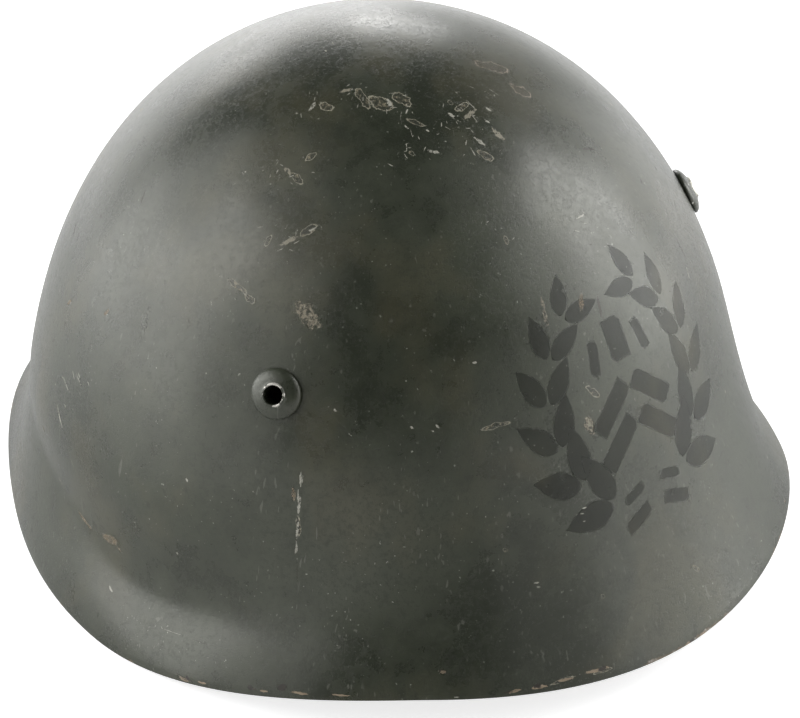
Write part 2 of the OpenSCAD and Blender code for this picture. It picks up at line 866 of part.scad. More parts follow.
// Tubular rivets that close the folded ends
strap_rivet = 1.5;
strap_rivet_head = 3;
rivet_place = (ring_pitch + buckle_top) / 2 + 0.6;
function strap_rivet_at(side) = side > 0 ? rivet_place : lap_end - 2;

module strap_rivet_hole(side) {
    translate([side * eye_x, hanger_length, 0])
        rotate([0, 0, side * strap_lean])
            translate([0, strap_rivet_at(side), 0])
                rotate([0, 90, 0])
                    cylinder(r = strap_rivet + slip, h = 12, center = true);
}

module strap_rivets() {
    half = strap_leather + slip;
    color(WORN_STEEL)
        for (side = [-1, 1])
            on_run(side)
                translate([0, strap_rivet_at(side), 0])
                    rotate([0, 90, 0]) {
                        cylinder(r = strap_rivet, h = 2 * half, center = true);
                        for (end = [-1, 1])
                            translate([0, 0, end * (half + 0.3)])
                                cylinder(r = strap_rivet_head, h = 0.6, center = true);
                    }
}

// Keeper: a leather loop that slides along the strap's two layers
keeper_place = 50;
keeper_length = 8;
keeper_wall = 1.4;
keeper_room = 0.3;

module strap_keeper() {
    low = standing_side - strap_leather / 2 - keeper_room;
    high = tail_side + strap_leather / 2 + keeper_room;
    half = strap_width / 2 + keeper_room;
    color(LEATHER)
        on_run(1)
            translate([0, keeper_place - keeper_length / 2, 0])
                difference() {
                    translate([low - keeper_wall, 0, -half - keeper_wall])
                        cube([high - low + 2 * keeper_wall, keeper_length, 2 * (half + keeper_wall)]);
                    translate([low, -1, -half])
                        cube([high - low, keeper_length + 2, 2 * half]);
                }
}

shell();
vent_rivet(-vent_angle);  // vent_rivet_right
vent_rivet(vent_angle);  // vent_rivet_left
vent_rivet(180);  // vent_rivet_rear
leaf_spring(-vent_angle);  // leaf_spring_right
leaf_spring(vent_angle);  // leaf_spring_left
leaf_spring(180);  // leaf_spring_rear
leaf_rivets();
liner_band();
band_rivets();
felt_strip();
sweatband();
liner_tongues();
pivot_rivet(-1);  // pivot_rivet_right
pivot_rivet(1);  // pivot_rivet_left
hanger(-1);  // hanger_right
hanger(1);  // hanger_left
strap_ring(-1);  // strap_ring_right
strap_ring(1);  // strap_ring_left
strap_long();
strap_short();
strap_rivets();
buckle_frame();
buckle_bar();
strap_keeper();
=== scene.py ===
"""Looks of a pressed steel infantry helmet of the 1930s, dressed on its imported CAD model."""

import random
from math import acos, asin, cos, degrees, dist, pi, radians, sin, sqrt, tan
from types import SimpleNamespace

import bmesh
import bpy
from mathutils import Matrix, Vector
from mathutils.bvhtree import BVHTree


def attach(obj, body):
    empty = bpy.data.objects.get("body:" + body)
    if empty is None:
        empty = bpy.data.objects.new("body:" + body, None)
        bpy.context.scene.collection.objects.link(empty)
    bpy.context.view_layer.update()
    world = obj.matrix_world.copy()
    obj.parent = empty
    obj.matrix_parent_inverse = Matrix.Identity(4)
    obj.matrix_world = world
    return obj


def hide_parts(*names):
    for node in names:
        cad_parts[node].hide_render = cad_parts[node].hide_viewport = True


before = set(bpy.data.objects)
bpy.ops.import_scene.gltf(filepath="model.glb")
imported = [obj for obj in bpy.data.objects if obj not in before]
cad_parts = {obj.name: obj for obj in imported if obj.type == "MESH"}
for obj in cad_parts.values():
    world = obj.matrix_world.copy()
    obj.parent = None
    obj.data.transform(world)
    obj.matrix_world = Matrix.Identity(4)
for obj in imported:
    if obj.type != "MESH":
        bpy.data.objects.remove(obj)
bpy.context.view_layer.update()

MM = 0.001
# Degrees in a radian
RADIAN = 57.2958

# Sizes of the shell, in millimetres and degrees, as the CAD part has them
SHELL = {
    "Height": 164.5, "Half Width": 115.5, "Front": 118.0, "Rear": 119.0, "Equator Depth": 29.5,
    "Fullness": 2.9, "Visor Flare": 18.0, "Nape Flare": 29.5, "Side Tuck": 1.0, "Visor Focus": 3.0,
    "Nape Focus": 21.0, "Visor Rise": 70.5, "Nape Rise": 52.0, "Visor Lift": 14.0, "Brow Dip": 4.0,
    "Lift Start": 90.0, "Lift Full": 36.0, "Dip Spread": 40.0
}
SHEET = 1.2
LENGTH_SHIFT = -6.41627
VENT_ANGLES = (-61.0, 61.0, 180.0)
VENT_HEIGHT = 97.5
VENT_BORE = 2.9
VENT_TUBE = 3.7
VENT_HEAD = 7.7
VENT_DOME = 3.2
VENT_LIP = 3.6
VENT_EDGE = 0.3
# Length of the cutters that open the holes, in metres
DRILL_DEPTH = 0.02
PUNCH_DEPTH = 0.012

# Where the pressing draws the wall in and creases it into the brim, which the solid smooths over
SIDE_HOLLOW = 6.4
CREASE_FRONT = 0.74
CREASE_REAR = 0.26
CREASE_SOFTNESS = 0.05
BRIM_ROUNDING = 1.8
# Degrees from the front where the hollow starts and reaches, and where it ends
HOLLOW_START, HOLLOW_SPAN = 24.0, 52.0
HOLLOW_END, HOLLOW_FADE = 162.0, 50.0
CREASE_START, CREASE_SPAN = 70.0, 65.0
HOLLOW_DEPTH_SHARE = 0.75

# Sizes of the liner, as the CAD part has them
BAND_HALF_WIDTH = 86.1101
BAND_HALF_LENGTH = 100.173
BAND_BOTTOM = 46.0
BAND_TOP = 72.0
BAND_SHEET = 0.9
SLIP = 0.1
SEAT = 0.05
FELT = 3.0
LEATHER = 1.8
SWEATBAND_TOP = 74.0
HEM_TOP = 51.0
TONGUES = 8
TONGUE_RISE = 60.0
TONGUE_SLOT = 5.0
TONGUE_OPENING = 0.3
LACE_HOLE = 4.0

# Sizes of the chinstrap, as the CAD part has them
PIVOT_HEIGHT = 56.0
REST_TILT = 22.8748
EYE_X = 90.7101
HANGER_LENGTH = 18.0
RING_PITCH = 10.5
RING_WIRE = 2.5
STRAP_LEAN = 10.0
STRAP_WIDTH = 15.0
STRAP_LEATHER = 2.0
STRAP_DEPTH = 125.0


# Node trees

def plug(tree, value, socket):
    """Links a term to a socket, or writes a plain value on it."""
    if isinstance(value, Term):
        tree.links.new(value.socket, socket)
    elif value is not None:
        socket.default_value = value


class Term:
    """A value inside a node tree. Arithmetic on it adds the nodes that work it out."""

    def __init__(self, tree, socket):
        self.tree = tree
        self.socket = socket

    def maths(self, operation, *values):
        return maths(self.tree, operation, self, *values)

    def size(self):
        return self.maths("ABSOLUTE")

    def sine(self):
        return self.maths("RADIANS").maths("SINE")

    def cosine(self):
        return self.maths("RADIANS").maths("COSINE")

    def at_least(self, other):
        return self.maths("MAXIMUM", other)

    def at_most(self, other):
        return self.maths("MINIMUM", other)

    def clamp(self, low=0.0, high=1.0):
        return self.at_least(low).at_most(high)

    def smooth(self):
        t = self.clamp()
        return t * t * (3.0 - 2.0 * t)

    def lerp(self, low, high):
        """low where this term is 0 and high where it is 1."""
        return (high - low) * self + low


def maths(tree, operation, *values):
    node = tree.nodes.new("ShaderNodeMath")
    node.operation = operation
    for value, socket in zip(values, node.inputs):
        plug(tree, value, socket)
    return Term(tree, node.outputs[0])


def arithmetic(operation, swapped):
    def work(term, other):
        return maths(term.tree, operation, *((other, term) if swapped else (term, other)))

    return work


SIGNS = {"add": "ADD", "sub": "SUBTRACT", "mul": "MULTIPLY", "truediv": "DIVIDE", "pow": "POWER"}
for sign, operation in SIGNS.items():
    setattr(Term, f"__{sign}__", arithmetic(operation, False))
    setattr(Term, f"__r{sign}__", arithmetic(operation, True))


def vectors(operation, first, *others):
    """Vector arithmetic, in the first term's tree."""
    tree = first.tree
    node = tree.nodes.new("ShaderNodeVectorMath")
    node.operation = operation
    sockets = {"SCALE": (0, 3)}.get(operation, (0, 1, 2))
    for value, k in zip((first, *others), sockets):
        plug(tree, value, node.inputs[k])
    out = "Value" if operation in ("LENGTH", "DISTANCE", "DOT_PRODUCT") else "Vector"
    return Term(tree, node.outputs[out])


def vector(tree, x, y, z):
    return add(tree, "ShaderNodeCombineXYZ", X=x, Y=y, Z=z)


def split(term):
    node = term.tree.nodes.new("ShaderNodeSeparateXYZ")
    plug(term.tree, term, node.inputs[0])
    return [Term(term.tree, socket) for socket in node.outputs]


def add(tree, kind, settings=None, out=0, **values):
    """Adds a node, fills its inputs by name, with _ for a space, and returns one output."""
    node = tree.nodes.new(kind)
    for name, value in (settings or {}).items():
        setattr(node, name, value)
    for name, value in values.items():
        socket = next(s for s in node.inputs if s.enabled and s.name == name.replace("_", " "))
        plug(tree, value, socket)
    if isinstance(out, str):
        return Term(tree, next(s for s in node.outputs if s.enabled and s.name == out))
    return Term(tree, node.outputs[out])


def geo(tree, kind, *settings, **values):
    return add(tree, "GeometryNode" + kind, *settings, **values)


KINDS = {
    "number": "NodeSocketFloat", "vector": "NodeSocketVector", "colour": "NodeSocketColor",
    "geometry": "NodeSocketGeometry", "material": "NodeSocketMaterial", "object": "NodeSocketObject"
}


def plain(name):
    return name.lower().replace(" ", "_")


def kind_of(value):
    """The socket for a default value, or for the word that stands in its place."""
    if isinstance(value, str):
        return KINDS[value]
    if isinstance(value, int):
        return "NodeSocketInt"
    return KINDS["number" if isinstance(value, float) else "colour"]


def group(name, given, results={"Geometry": "geometry"}, family="GeometryNodeTree"):
    """A new node group and its inputs as terms. given has each input's default value or kind."""
    tree = bpy.data.node_groups.new(name, family)
    for side, sockets in (("INPUT", given), ("OUTPUT", results)):
        for label, value in sockets.items():
            kind = kind_of(value)
            socket = tree.interface.new_socket(name=label, in_out=side, socket_type=kind)
            if not isinstance(value, str):
                socket.default_value = value
    source = tree.nodes.new("NodeGroupInput")
    terms = {plain(socket.name): Term(tree, socket) for socket in source.outputs if socket.name}
    return tree, SimpleNamespace(**terms)


def outputs(tree, **values):
    node = tree.nodes.new("NodeGroupOutput")
    for name, value in values.items():
        plug(tree, value, node.inputs[name.replace("_", " ")])


def use(tree, inner, **values):
    """Places a node group in a tree and returns its outputs by name."""
    family = "ShaderNodeGroup" if inner.bl_idname == "ShaderNodeTree" else "GeometryNodeGroup"
    node = tree.nodes.new(family)
    node.node_tree = inner
    for name, value in values.items():
        plug(tree, value, node.inputs[name.replace("_", " ")])
    return {socket.name: Term(tree, socket) for socket in node.outputs}


def shell_sizes(given):
    return {name.replace(" ", "_"): getattr(given, plain(name)) for name in SHELL}


def in_metres(point):
    return vectors("SCALE", point, MM)


def kept(tree, geometry, name, value, domain="POINT"):
    """Stores a number on the geometry, under a name."""
    settings = {"data_type": "FLOAT", "domain": domain}
    return geo(tree, "StoreNamedAttribute", settings, Geometry=geometry, Name=name, Value=value)


def moved_to(tree, geometry, point):
    """Moves the geometry's points to places in millimetres."""
    return geo(tree, "SetPosition", Geometry=geometry, Position=in_metres(point))


def spots_at(tree, count, point):
    return geo(tree, "Points", Count=count, Position=in_metres(point))


def turned_to(direction, axis="Z"):
    return add(
        direction.tree, "FunctionNodeAlignRotationToVector", {"axis": axis}, Vector=direction
    )


def joined_up(tree, mesh, distance):
    return geo(tree, "MergeByDistance", Geometry=mesh, Distance=distance)


def holed(tree, mesh, count, place, out, radius, depth, sides):
    """Cuts round holes through a mesh, square to a direction."""
    drill = geo(
        tree, "MeshCylinder", {"fill_type": "NGON"}, out="Mesh", Vertices=sides, Radius=radius * MM,
        Depth=depth
    )
    spots = spots_at(tree, count, place)
    drills = geo(tree, "InstanceOnPoints", Points=spots, Instance=drill, Rotation=turned_to(out))
    cut = {"operation": "DIFFERENCE", "solver": "EXACT"}
    drills = geo(tree, "RealizeInstances", Geometry=drills)
    return geo(tree, "MeshBoolean", cut, Mesh_1=mesh, Mesh_2=drills)


def finished(tree, given, geometry, smooth=False):
    """Realizes the geometry, gives it the group's material and puts it out."""
    geometry = geo(tree, "RealizeInstances", Geometry=geometry)
    if smooth:
        geometry = geo(tree, "SetShadeSmooth", Geometry=geometry, Shade_Smooth=True)
    coloured = geo(tree, "SetMaterial", Geometry=geometry, Material=given.material)
    outputs(tree, Geometry=coloured)
    return tree


# Meshes

def show(name, data):
    piece = bpy.data.objects.new(name, data)
    bpy.context.scene.collection.objects.link(piece)
    return piece


def grown(name, tree, mesh=None, **values):
    """Runs a geometry tree once and keeps its result as a plain mesh."""
    piece = show(name, mesh or bpy.data.meshes.new(name))
    modifier = piece.modifiers.new("form", "NODES")
    modifier.node_group = tree
    for item in tree.interface.items_tree:
        if item.item_type == "SOCKET" and item.in_out == "INPUT":
            key = item.name.replace(" ", "_")
            if key in values:
                modifier[item.identifier] = values[key]
    depsgraph = bpy.context.evaluated_depsgraph_get()
    made = bpy.data.meshes.new_from_object(piece.evaluated_get(depsgraph), depsgraph=depsgraph)
    made.name = name
    piece.modifiers.clear()
    piece.data = made
    return piece


def mesh_of(name, points, faces, numbers=None):
    """A mesh from points in millimetres. numbers holds one value a point for each attribute."""
    mesh = bpy.data.meshes.new(name)
    mesh.from_pydata([Vector(p) * MM for p in points], [], faces)
    for label, values in (numbers or {}).items():
        mesh.attributes.new(label, "FLOAT", "POINT").data.foreach_set("value", values)
    mesh.shade_smooth()
    mesh.update()
    return mesh


# Shell

def bent(share, crease):
    """Level before the crease and a straight climb after it, with a rounded corner."""
    past = share - crease
    return (past * past + CREASE_SOFTNESS ** 2).maths("SQRT") + past


def shell_point_tree():
    """Geometry group: the point of the shell's outer face at an angle and a slope."""
    tree, given = group(
        "shell point", {"Angle": 0.0, "Slope": 45.0, **SHELL},
        {"Point": "vector", "Rim Height": "number"}
    )
    a = given.angle
    q = given.slope
    round_by = a.size()
    lift = ((given.lift_start - round_by) / (given.lift_start - given.lift_full)).smooth()
    dip = ((given.dip_spread - round_by) / given.dip_spread).smooth()
    rim = given.visor_lift * lift - given.brow_dip * dip
    tuck = given.side_tuck
    visor = (given.visor_flare + tuck) * (a * 0.5).cosine().size() ** given.visor_focus
    nape = (given.nape_flare + tuck) * (a * 0.5).sine().size() ** given.nape_focus
    flare = visor + nape - tuck
    rise = ((1.0 - a.cosine()) * 0.5).lerp(given.visor_rise, given.nape_rise)
    depth = given.height + given.equator_depth
    z = depth * q.cosine() ** (2.0 / given.fullness) - given.equator_depth
    reach = a.cosine().maths("GREATER_THAN", 0.0).lerp(given.rear, given.front)
    turn = ((rim + rise - z) / rise).clamp()
    out_x = a.sine() / given.half_width
    out_y = -1.0 * a.cosine() / reach
    hollow = ((round_by - HOLLOW_START) / HOLLOW_SPAN).smooth()
    hollow = hollow * ((HOLLOW_END - round_by) / HOLLOW_FADE).smooth()
    rearward = ((round_by - CREASE_START) / CREASE_SPAN).smooth()
    crease = CREASE_FRONT - (CREASE_FRONT - CREASE_REAR) * rearward
    start, now, end = (bent(share, crease) for share in (turn * 0.0, turn, turn * 0.0 + 1.0))
    climb = 1.0 - (1.0 - (now - start) / (end - start)) ** BRIM_ROUNDING
    creased = climb - (turn / HOLLOW_DEPTH_SHARE).smooth()
    outwards = flare * turn * turn + SIDE_HOLLOW * hollow * creased
    share = outwards / (out_x * out_x + out_y * out_y).maths("SQRT")
    x = given.half_width * a.sine() * q.sine() + out_x * share
    y = -1.0 * reach * a.cosine() * q.sine() + out_y * share
    outputs(tree, Point=vector(tree, x, y, z), Rim_Height=rim)
    return tree


def shell_skin_tree(point_tree):
    """Geometry group: the same point, moved to the part's frame, with what it needs there."""
    tree, given = group(
        "shell skin",
        {"Angle": 0.0, "Slope": 45.0, **SHELL, "Unevenness": 0.16, "Length Shift": LENGTH_SHIFT},
        {"Point": "vector", "Normal": "vector", "Above Rim": "number", "Uneven": "number"}
    )
    named = shell_sizes(given)
    a = given.angle
    q = given.slope
    off_crown = q.at_least(0.6)

    def point(angle, slope):
        return use(tree, point_tree, Angle=angle, Slope=slope, **named)["Point"]

    across = vectors("SUBTRACT", point(a + 0.5, off_crown), point(a - 0.5, off_crown))
    down = vectors(
        "SUBTRACT", point(a, (off_crown + 0.25).at_most(89.5)), point(a, off_crown - 0.25)
    )
    # The crown's own normal is upright, whichever way one comes to it
    off_axis = (q / 1.2).clamp()
    level = vectors("SCALE", vectors("CROSS_PRODUCT", down, across), off_axis)
    upright = vector(tree, 0.0, 0.0, (1.0 - off_axis) * 0.1)
    normal = vectors("NORMALIZE", vectors("ADD", level, upright))
    here = use(tree, point_tree, Angle=a, Slope=q, **named)
    above_rim = split(here["Point"])[2] - here["Rim Height"]
    swell = add(
        tree, "ShaderNodeTexNoise", out="Fac", Vector=here["Point"], Scale=0.021, Detail=1.5,
        Roughness=0.45
    )
    outputs(
        tree, Point=vectors("ADD", here["Point"], vector(tree, 0.0, given.length_shift, 0.0)),
        Normal=normal, Above_Rim=above_rim,
        Uneven=(swell - 0.5) * 2.0 * given.unevenness * (above_rim / 12.0).smooth()
    )
    return tree


def slope_at(given, z):
    """Slope at which the dome has the height z."""
    depth = given.height + given.equator_depth
    lowered = ((z + given.equator_depth) / depth) ** (given.fullness * 0.5)
    return lowered.maths("ARCCOSINE").maths("DEGREES")


def shell_form_tree(point_tree, skin_tree):
    """The pressed shell: rows run down the outer face, round the cut rim and up the inner face."""
    tree, given = group(
        "shell form",
        {
            **SHELL, "Sheet": SHEET, "Rim Rounding": 0.22, "Vent Angle": VENT_ANGLES[1],
            "Vent Height": VENT_HEIGHT, "Vent Hole": VENT_TUBE + SLIP, "Sectors": 288,
            "Outer Rows": 120, "Inner Rows": 70, "Material": "material"
        }
    )
    named = shell_sizes(given)
    rim_rows = 6.0
    squareness = 0.35
    rows = given.outer_rows + given.inner_rows + rim_rows
    grid = geo(
        tree, "MeshGrid", Size_X=1.0, Size_Y=1.0, Vertices_X=given.sectors + 1.0,
        Vertices_Y=rows + 1.0
    )
    x, y, _ = split(geo(tree, "InputPosition"))
    angle = x * 360.0
    row = ((y + 0.5) * rows).maths("ROUND")
    outer = (row / given.outer_rows).clamp()
    inner = ((rows - row) / given.inner_rows).clamp()
    share = outer.at_most(inner)
    share = 1.4 * share - 0.4 * share * share
    turn = ((row - given.outer_rows) / rim_rows).clamp() * 180.0
    side = turn.cosine().maths("SIGN") * turn.cosine().size() ** squareness
    depth = (1.0 - side) * 0.5 * given.sheet
    lift = (1.0 - turn.sine().size() ** squareness) * given.rim_rounding
    rim = use(tree, point_tree, Angle=angle, Slope=45.0, **named)["Rim Height"]
    slope = slope_at(given, rim + lift) * share
    skin = use(tree, skin_tree, Angle=angle, Slope=slope, **named)
    above_rim = skin["Above Rim"]
    # The cut is level, so near the rim the inner face is reached sideways
    nx, ny, nz = split(skin["Normal"])
    level = (1.0 - above_rim / 5.0).clamp()
    flat = level.lerp(1.0, 1.0 / (nx * nx + ny * ny).at_least(0.01))
    inwards = vector(tree, nx * flat, ny * flat, nz * (1.0 - level))
    moved = vectors("SCALE", inwards, skin["Uneven"] - depth)
    point = vectors("ADD", skin["Point"], moved)
    placed = kept(tree, grid, "above rim", above_rim)
    placed = kept(tree, placed, "inside", depth / given.sheet)
    closed = joined_up(tree, moved_to(tree, placed, point), 2e-6)
    # Three vent holes
    number = geo(tree, "InputIndex")
    sideways = (number * 2.0 - 1.0) * given.vent_angle
    vent_angle = number.maths("GREATER_THAN", 1.5).lerp(sideways, 180.0)
    vent = use(tree, skin_tree, Angle=vent_angle, Slope=slope_at(given, given.vent_height), **named)
    solid = geo(tree, "FlipFaces", Mesh=closed)
    bore = given.vent_hole
    drilled = holed(tree, solid, 3, vent["Point"], vent["Normal"], bore, DRILL_DEPTH, 48)
    return finished(tree, given, drilled, smooth=True)


# Surfaces that hold up on any piece

def where(tree):
    """Object coordinates, in metres."""
    return add(tree, "ShaderNodeTexCoord", out="Object")


def noise(place, scale, detail=3.0, roughness=0.5, distortion=0.0):
    return add(
        place.tree, "ShaderNodeTexNoise", out="Fac", Vector=place, Scale=scale, Detail=detail,
        Roughness=roughness, Distortion=distortion
    )


def step(term, low, high):
    """0 below low, 1 above high and smooth between."""
    return ((term - low) / (high - low)).smooth()


def blend(factor, a, b):
    colours = {"data_type": "RGBA"}
    return add(factor.tree, "ShaderNodeMix", colours, out="Result", Factor=factor, A=a, B=b)


def stretched(place, *shares):
    return vectors("MULTIPLY", place, shares)


def attribute(tree, name):
    return add(tree, "ShaderNodeAttribute", {"attribute_name": name}, out="Fac")


def shade(r, g, b):
    """A colour from the 0 to 255 values of a screen."""
    return (*(((v / 255 + 0.055) / 1.055) ** 2.4 if v > 10 else v / 3294.6 for v in (r, g, b)), 1.0)


def cloudy_group():
    """Old paint: two shades in clouds, dark stains, and fine dark and pale specks."""
    tree, given = group(
        "cloudy paint",
        {
            "Place": "vector", "Deep Shade": (0.06, 0.07, 0.06, 1),
            "Pale Shade": (0.1, 0.11, 0.1, 1), "Stain Shade": (0.03, 0.03, 0.025, 1),
            "Warm Shade": shade(84, 80, 62), "Dust Shade": shade(168, 170, 158), "Cloud Size": 0.06,
            "Stains": 0.5, "Specks": 0.5
        }, {"Colour": "colour", "Dullness": "number", "Height": "number"}, "ShaderNodeTree"
    )
    place = given.place
    broad = noise(place, 1.0 / given.cloud_size, 2.0, 0.5)
    close = noise(place, 6.0 / given.cloud_size, 5.0, 0.65)
    clouds = step(0.55 * broad + 0.45 * close, 0.38, 0.62)
    colour = blend(clouds, given.deep_shade, given.pale_shade)
    warm = step(noise(stretched(place, 1.0, 1.0, 0.8), 26.0, 3.0, 0.6), 0.48, 0.66)
    colour = blend(warm * 0.3, colour, given.warm_shade)
    region = step(noise(place, 17.0, 4.0, 0.6), 0.34, 0.7)
    blots = step(noise(place, 560.0, 6.0, 0.78), 0.5, 0.6)
    clots = step(noise(place, 380.0, 6.0, 0.75), 0.54, 0.62)
    dark = (0.75 * blots + 0.7 * clots).clamp() * (0.5 + 0.5 * region)
    colour = blend(dark * given.stains, colour, given.stain_shade)
    grain = noise(place, 1300.0, 3.0, 0.7)
    pits = step(grain, 0.6, 0.68) * given.specks
    dots = noise(place, 1050.0, 2.0, 0.5)
    dust = step(dots, 0.71, 0.75) * step(noise(place, 40.0, 2.0), 0.4, 0.6) * given.specks
    colour = blend(pits * 0.7, colour, given.stain_shade)
    colour = blend(dust * 0.8, colour, given.dust_shade)
    outputs(
        tree, Colour=colour, Dullness=0.5 * clouds + 0.5 * dark + 0.4 * pits,
        Height=grain * 0.8 - pits + 0.5 * close - 0.6 * dark
    )
    return tree


def hairline_group():
    """Fine scratches from handling, thin and long in three directions."""
    tree, given = group(
        "hairline scratches", {"Place": "vector", "Amount": 0.5}, {"Mask": "number"},
        "ShaderNodeTree"
    )
    mask = None
    for turn, low in (((0.3, 0.1, 0.5), 0.70), ((1.2, 0.7, 0.2), 0.72), ((0.5, 1.4, 2.1), 0.73)):
        turned = add(
            tree, "ShaderNodeMapping", Vector=given.place, Rotation=turn, Scale=(1.0, 1.0, 0.03)
        )
        line = step(noise(turned, 820.0, 1.0, 0.4), low, low + 0.03)
        gate = step(noise(turned, 60.0, 2.0), 0.52, 0.60)
        line = line * gate
        mask = line if mask is None else mask.at_least(line)
    outputs(tree, Mask=mask * given.amount)
    return tree


def wear_group():
    """Bare and rusted metal where a wear value, broken up by noise, passes the edge."""
    tree, given = group(
        "worn metal", {"Place": "vector", "Wear": 0.0, "Grain Size": 0.004, "Rust": 0.5},
        {"Mask": "number", "Colour": "colour", "Metal": "number"}, "ShaderNodeTree"
    )
    place = given.place
    ragged = noise(place, 1.0 / given.grain_size, 5.0, 0.62)
    mask = step(given.wear + (ragged - 0.5) * 1.3, 0.62, 0.70)
    patches = noise(place, 420.0, 4.0, 0.7)
    rust = step(patches + (given.rust - 0.5), 0.42, 0.58)
    brown = blend(patches, shade(46, 41, 34), shade(118, 104, 84))
    colour = blend(rust, shade(186, 184, 176), brown)
    outputs(tree, Mask=mask, Colour=colour, Metal=(1.0 - rust) * 0.85)
    return tree


def grain_group():
    """Leather: small cells, soft creases and darkened rubbed places."""
    tree, given = group(
        "leather grain",
        {
            "Place": "vector", "Dark Shade": (0.05, 0.03, 0.02, 1),
            "Light Shade": (0.2, 0.12, 0.06, 1), "Cell Size": 0.0011
        }, {"Colour": "colour", "Dullness": "number", "Height": "number"}, "ShaderNodeTree"
    )
    place = given.place
    cell = add(
        tree, "ShaderNodeTexVoronoi", {"feature": "SMOOTH_F1"}, out="Distance", Vector=place,
        Scale=1.0 / given.cell_size
    )
    broad = noise(place, 38.0, 4.0, 0.6)
    crease = step(noise(stretched(place, 1.0, 1.0, 3.0), 150.0, 3.0, 0.6, 0.8), 0.55, 0.68)
    tone = (0.75 * step(broad, 0.3, 0.7) + 0.35 * (1.0 - cell) - 0.25 * crease).clamp()
    outputs(
        tree, Colour=blend(tone, given.dark_shade, given.light_shade), Dullness=broad,
        Height=-0.5 * cell - 0.8 * crease + 0.4 * broad
    )
    return tree


cloudy = cloudy_group()
hairlines = hairline_group()
worn = wear_group()
leather_grain = grain_group()


class Finish:
    """A material with its Principled shader, its place in object coordinates and its sockets."""

    def __init__(self, name):
        self.material = bpy.data.materials.new(name)
        self.material.use_nodes = True
        self.tree = self.material.node_tree
        self.shader = self.tree.nodes["Principled BSDF"]
        self.place = where(self.tree)

    def set(self, **values):
        for name, value in values.items():
            plug(self.tree, value, self.shader.inputs[name.replace("_", " ")])
        return self

    def film(self, cover):
        """How much a film covers, seen from outside only. It throws no shadow on what is below."""
        in_shadow = add(self.tree, "ShaderNodeLightPath", out="Is Shadow Ray")
        from_behind = add(self.tree, "ShaderNodeNewGeometry", out="Backfacing")
        return self.set(Alpha=cover * (1.0 - in_shadow.at_least(from_behind)))

    def bump(self, height, strength, distance):
        sockets = {"Strength": strength, "Distance": distance, "Height": height}
        return self.set(Normal=add(self.tree, "ShaderNodeBump", **sockets))


PAINT_DEEP = shade(41, 45, 36)
PAINT_PALE = shade(59, 63, 52)
PAINT_STAIN = shade(32, 34, 27)
STENCIL_DEEP = shade(28, 30, 22)
STENCIL_PALE = shade(38, 41, 31)
PAINT_ROUGHNESS = 0.25
STENCIL_ROUGHNESS = 0.3
VARNISH = {"Coat_Weight": 0.12, "Coat_Roughness": 0.2, "Specular_Tint": (1.0, 1.0, 0.93, 1.0)}


def painted(
    name, wear, rust=0.5, stains=0.5, deep=PAINT_DEEP, pale=PAINT_PALE, scratches=0.35, grain=0.004
):
    """Grey-green service paint. wear is a term from 0 to 1 that says where it has gone."""
    finish = Finish(name)
    tree = finish.tree
    paint = use(
        tree, cloudy, Place=finish.place, Deep_Shade=deep, Pale_Shade=pale, Stain_Shade=PAINT_STAIN,
        Stains=stains, Specks=0.7
    )
    lines = use(tree, hairlines, Place=finish.place, Amount=scratches)["Mask"]
    colour = blend(lines * 0.5, paint["Colour"], shade(150, 150, 140))
    bare = use(tree, worn, Place=finish.place, Wear=wear(finish), Grain_Size=grain, Rust=rust)
    finish.set(
        Base_Color=blend(bare["Mask"], colour, bare["Colour"]),
        Metallic=bare["Mask"] * bare["Metal"],
        Roughness=(PAINT_ROUGHNESS + 0.12 * paint["Dullness"] + 0.1 * bare["Mask"]).clamp()
    )
    finish.bump(paint["Height"] - 1.2 * bare["Mask"], 0.35, 0.00012)
    return finish.set(**VARNISH).material


def fixed_wear(finish):
    return 0.34


def rim_wear(finish):
    height = attribute(finish.tree, "above rim")
    places = step(noise(finish.place, 24.0, 3.0, 0.6), 0.48, 0.62)
    return 0.28 + (0.12 + 0.42 * places) * (1.0 - 0.55 * height.clamp(0.0, 1.8))


def lip_wear(finish):
    places = step(noise(finish.place, 240.0, 3.0, 0.6), 0.4, 0.58)
    return 0.26 + (0.3 + 0.6 * places) * attribute(finish.tree, "lip")


def head_wear(finish):
    return 0.2 + lip_wear(finish)


def steel(name, dark, light, roughness, rust):
    """Bare plated or blued steel with light rust."""
    finish = Finish(name)
    tree = finish.tree
    cloud = noise(finish.place, 130.0, 4.0, 0.6)
    lines = use(tree, hairlines, Place=finish.place, Amount=0.6)["Mask"]
    spots = step(noise(finish.place, 480.0, 4.0, 0.7), 0.66 - 0.14 * rust, 0.72 - 0.1 * rust)
    colour = blend(step(cloud, 0.35, 0.65), dark, light)
    colour = blend(lines * 0.6, colour, shade(205, 204, 198))
    colour = blend(spots, colour, shade(96, 66, 42))
    finish.set(
        Base_Color=colour, Metallic=1.0 - spots,
        Roughness=(roughness + 0.15 * cloud + 0.35 * spots - 0.1 * lines).clamp()
    )
    finish.bump(cloud * 0.4 + spots, 0.3, 0.0001)
    return finish.material


def hide(name, dark, light, roughness=0.5, edge=None):
    """Leather. edge says where the cut edge shows, dark and burnished."""
    finish = Finish(name)
    tree = finish.tree
    skin = use(tree, leather_grain, Place=finish.place, Dark_Shade=dark, Light_Shade=light)
    colour = skin["Colour"]
    if edge:
        colour = blend(edge(finish), colour, dark)
    finish.set(Base_Color=colour, Roughness=(roughness + 0.22 * (skin["Dullness"] - 0.5)).clamp())
    finish.bump(skin["Height"], 0.5, 0.00025)
    return finish.material


def cut_edge(finish):
    return attribute(finish.tree, "edge") * 0.8


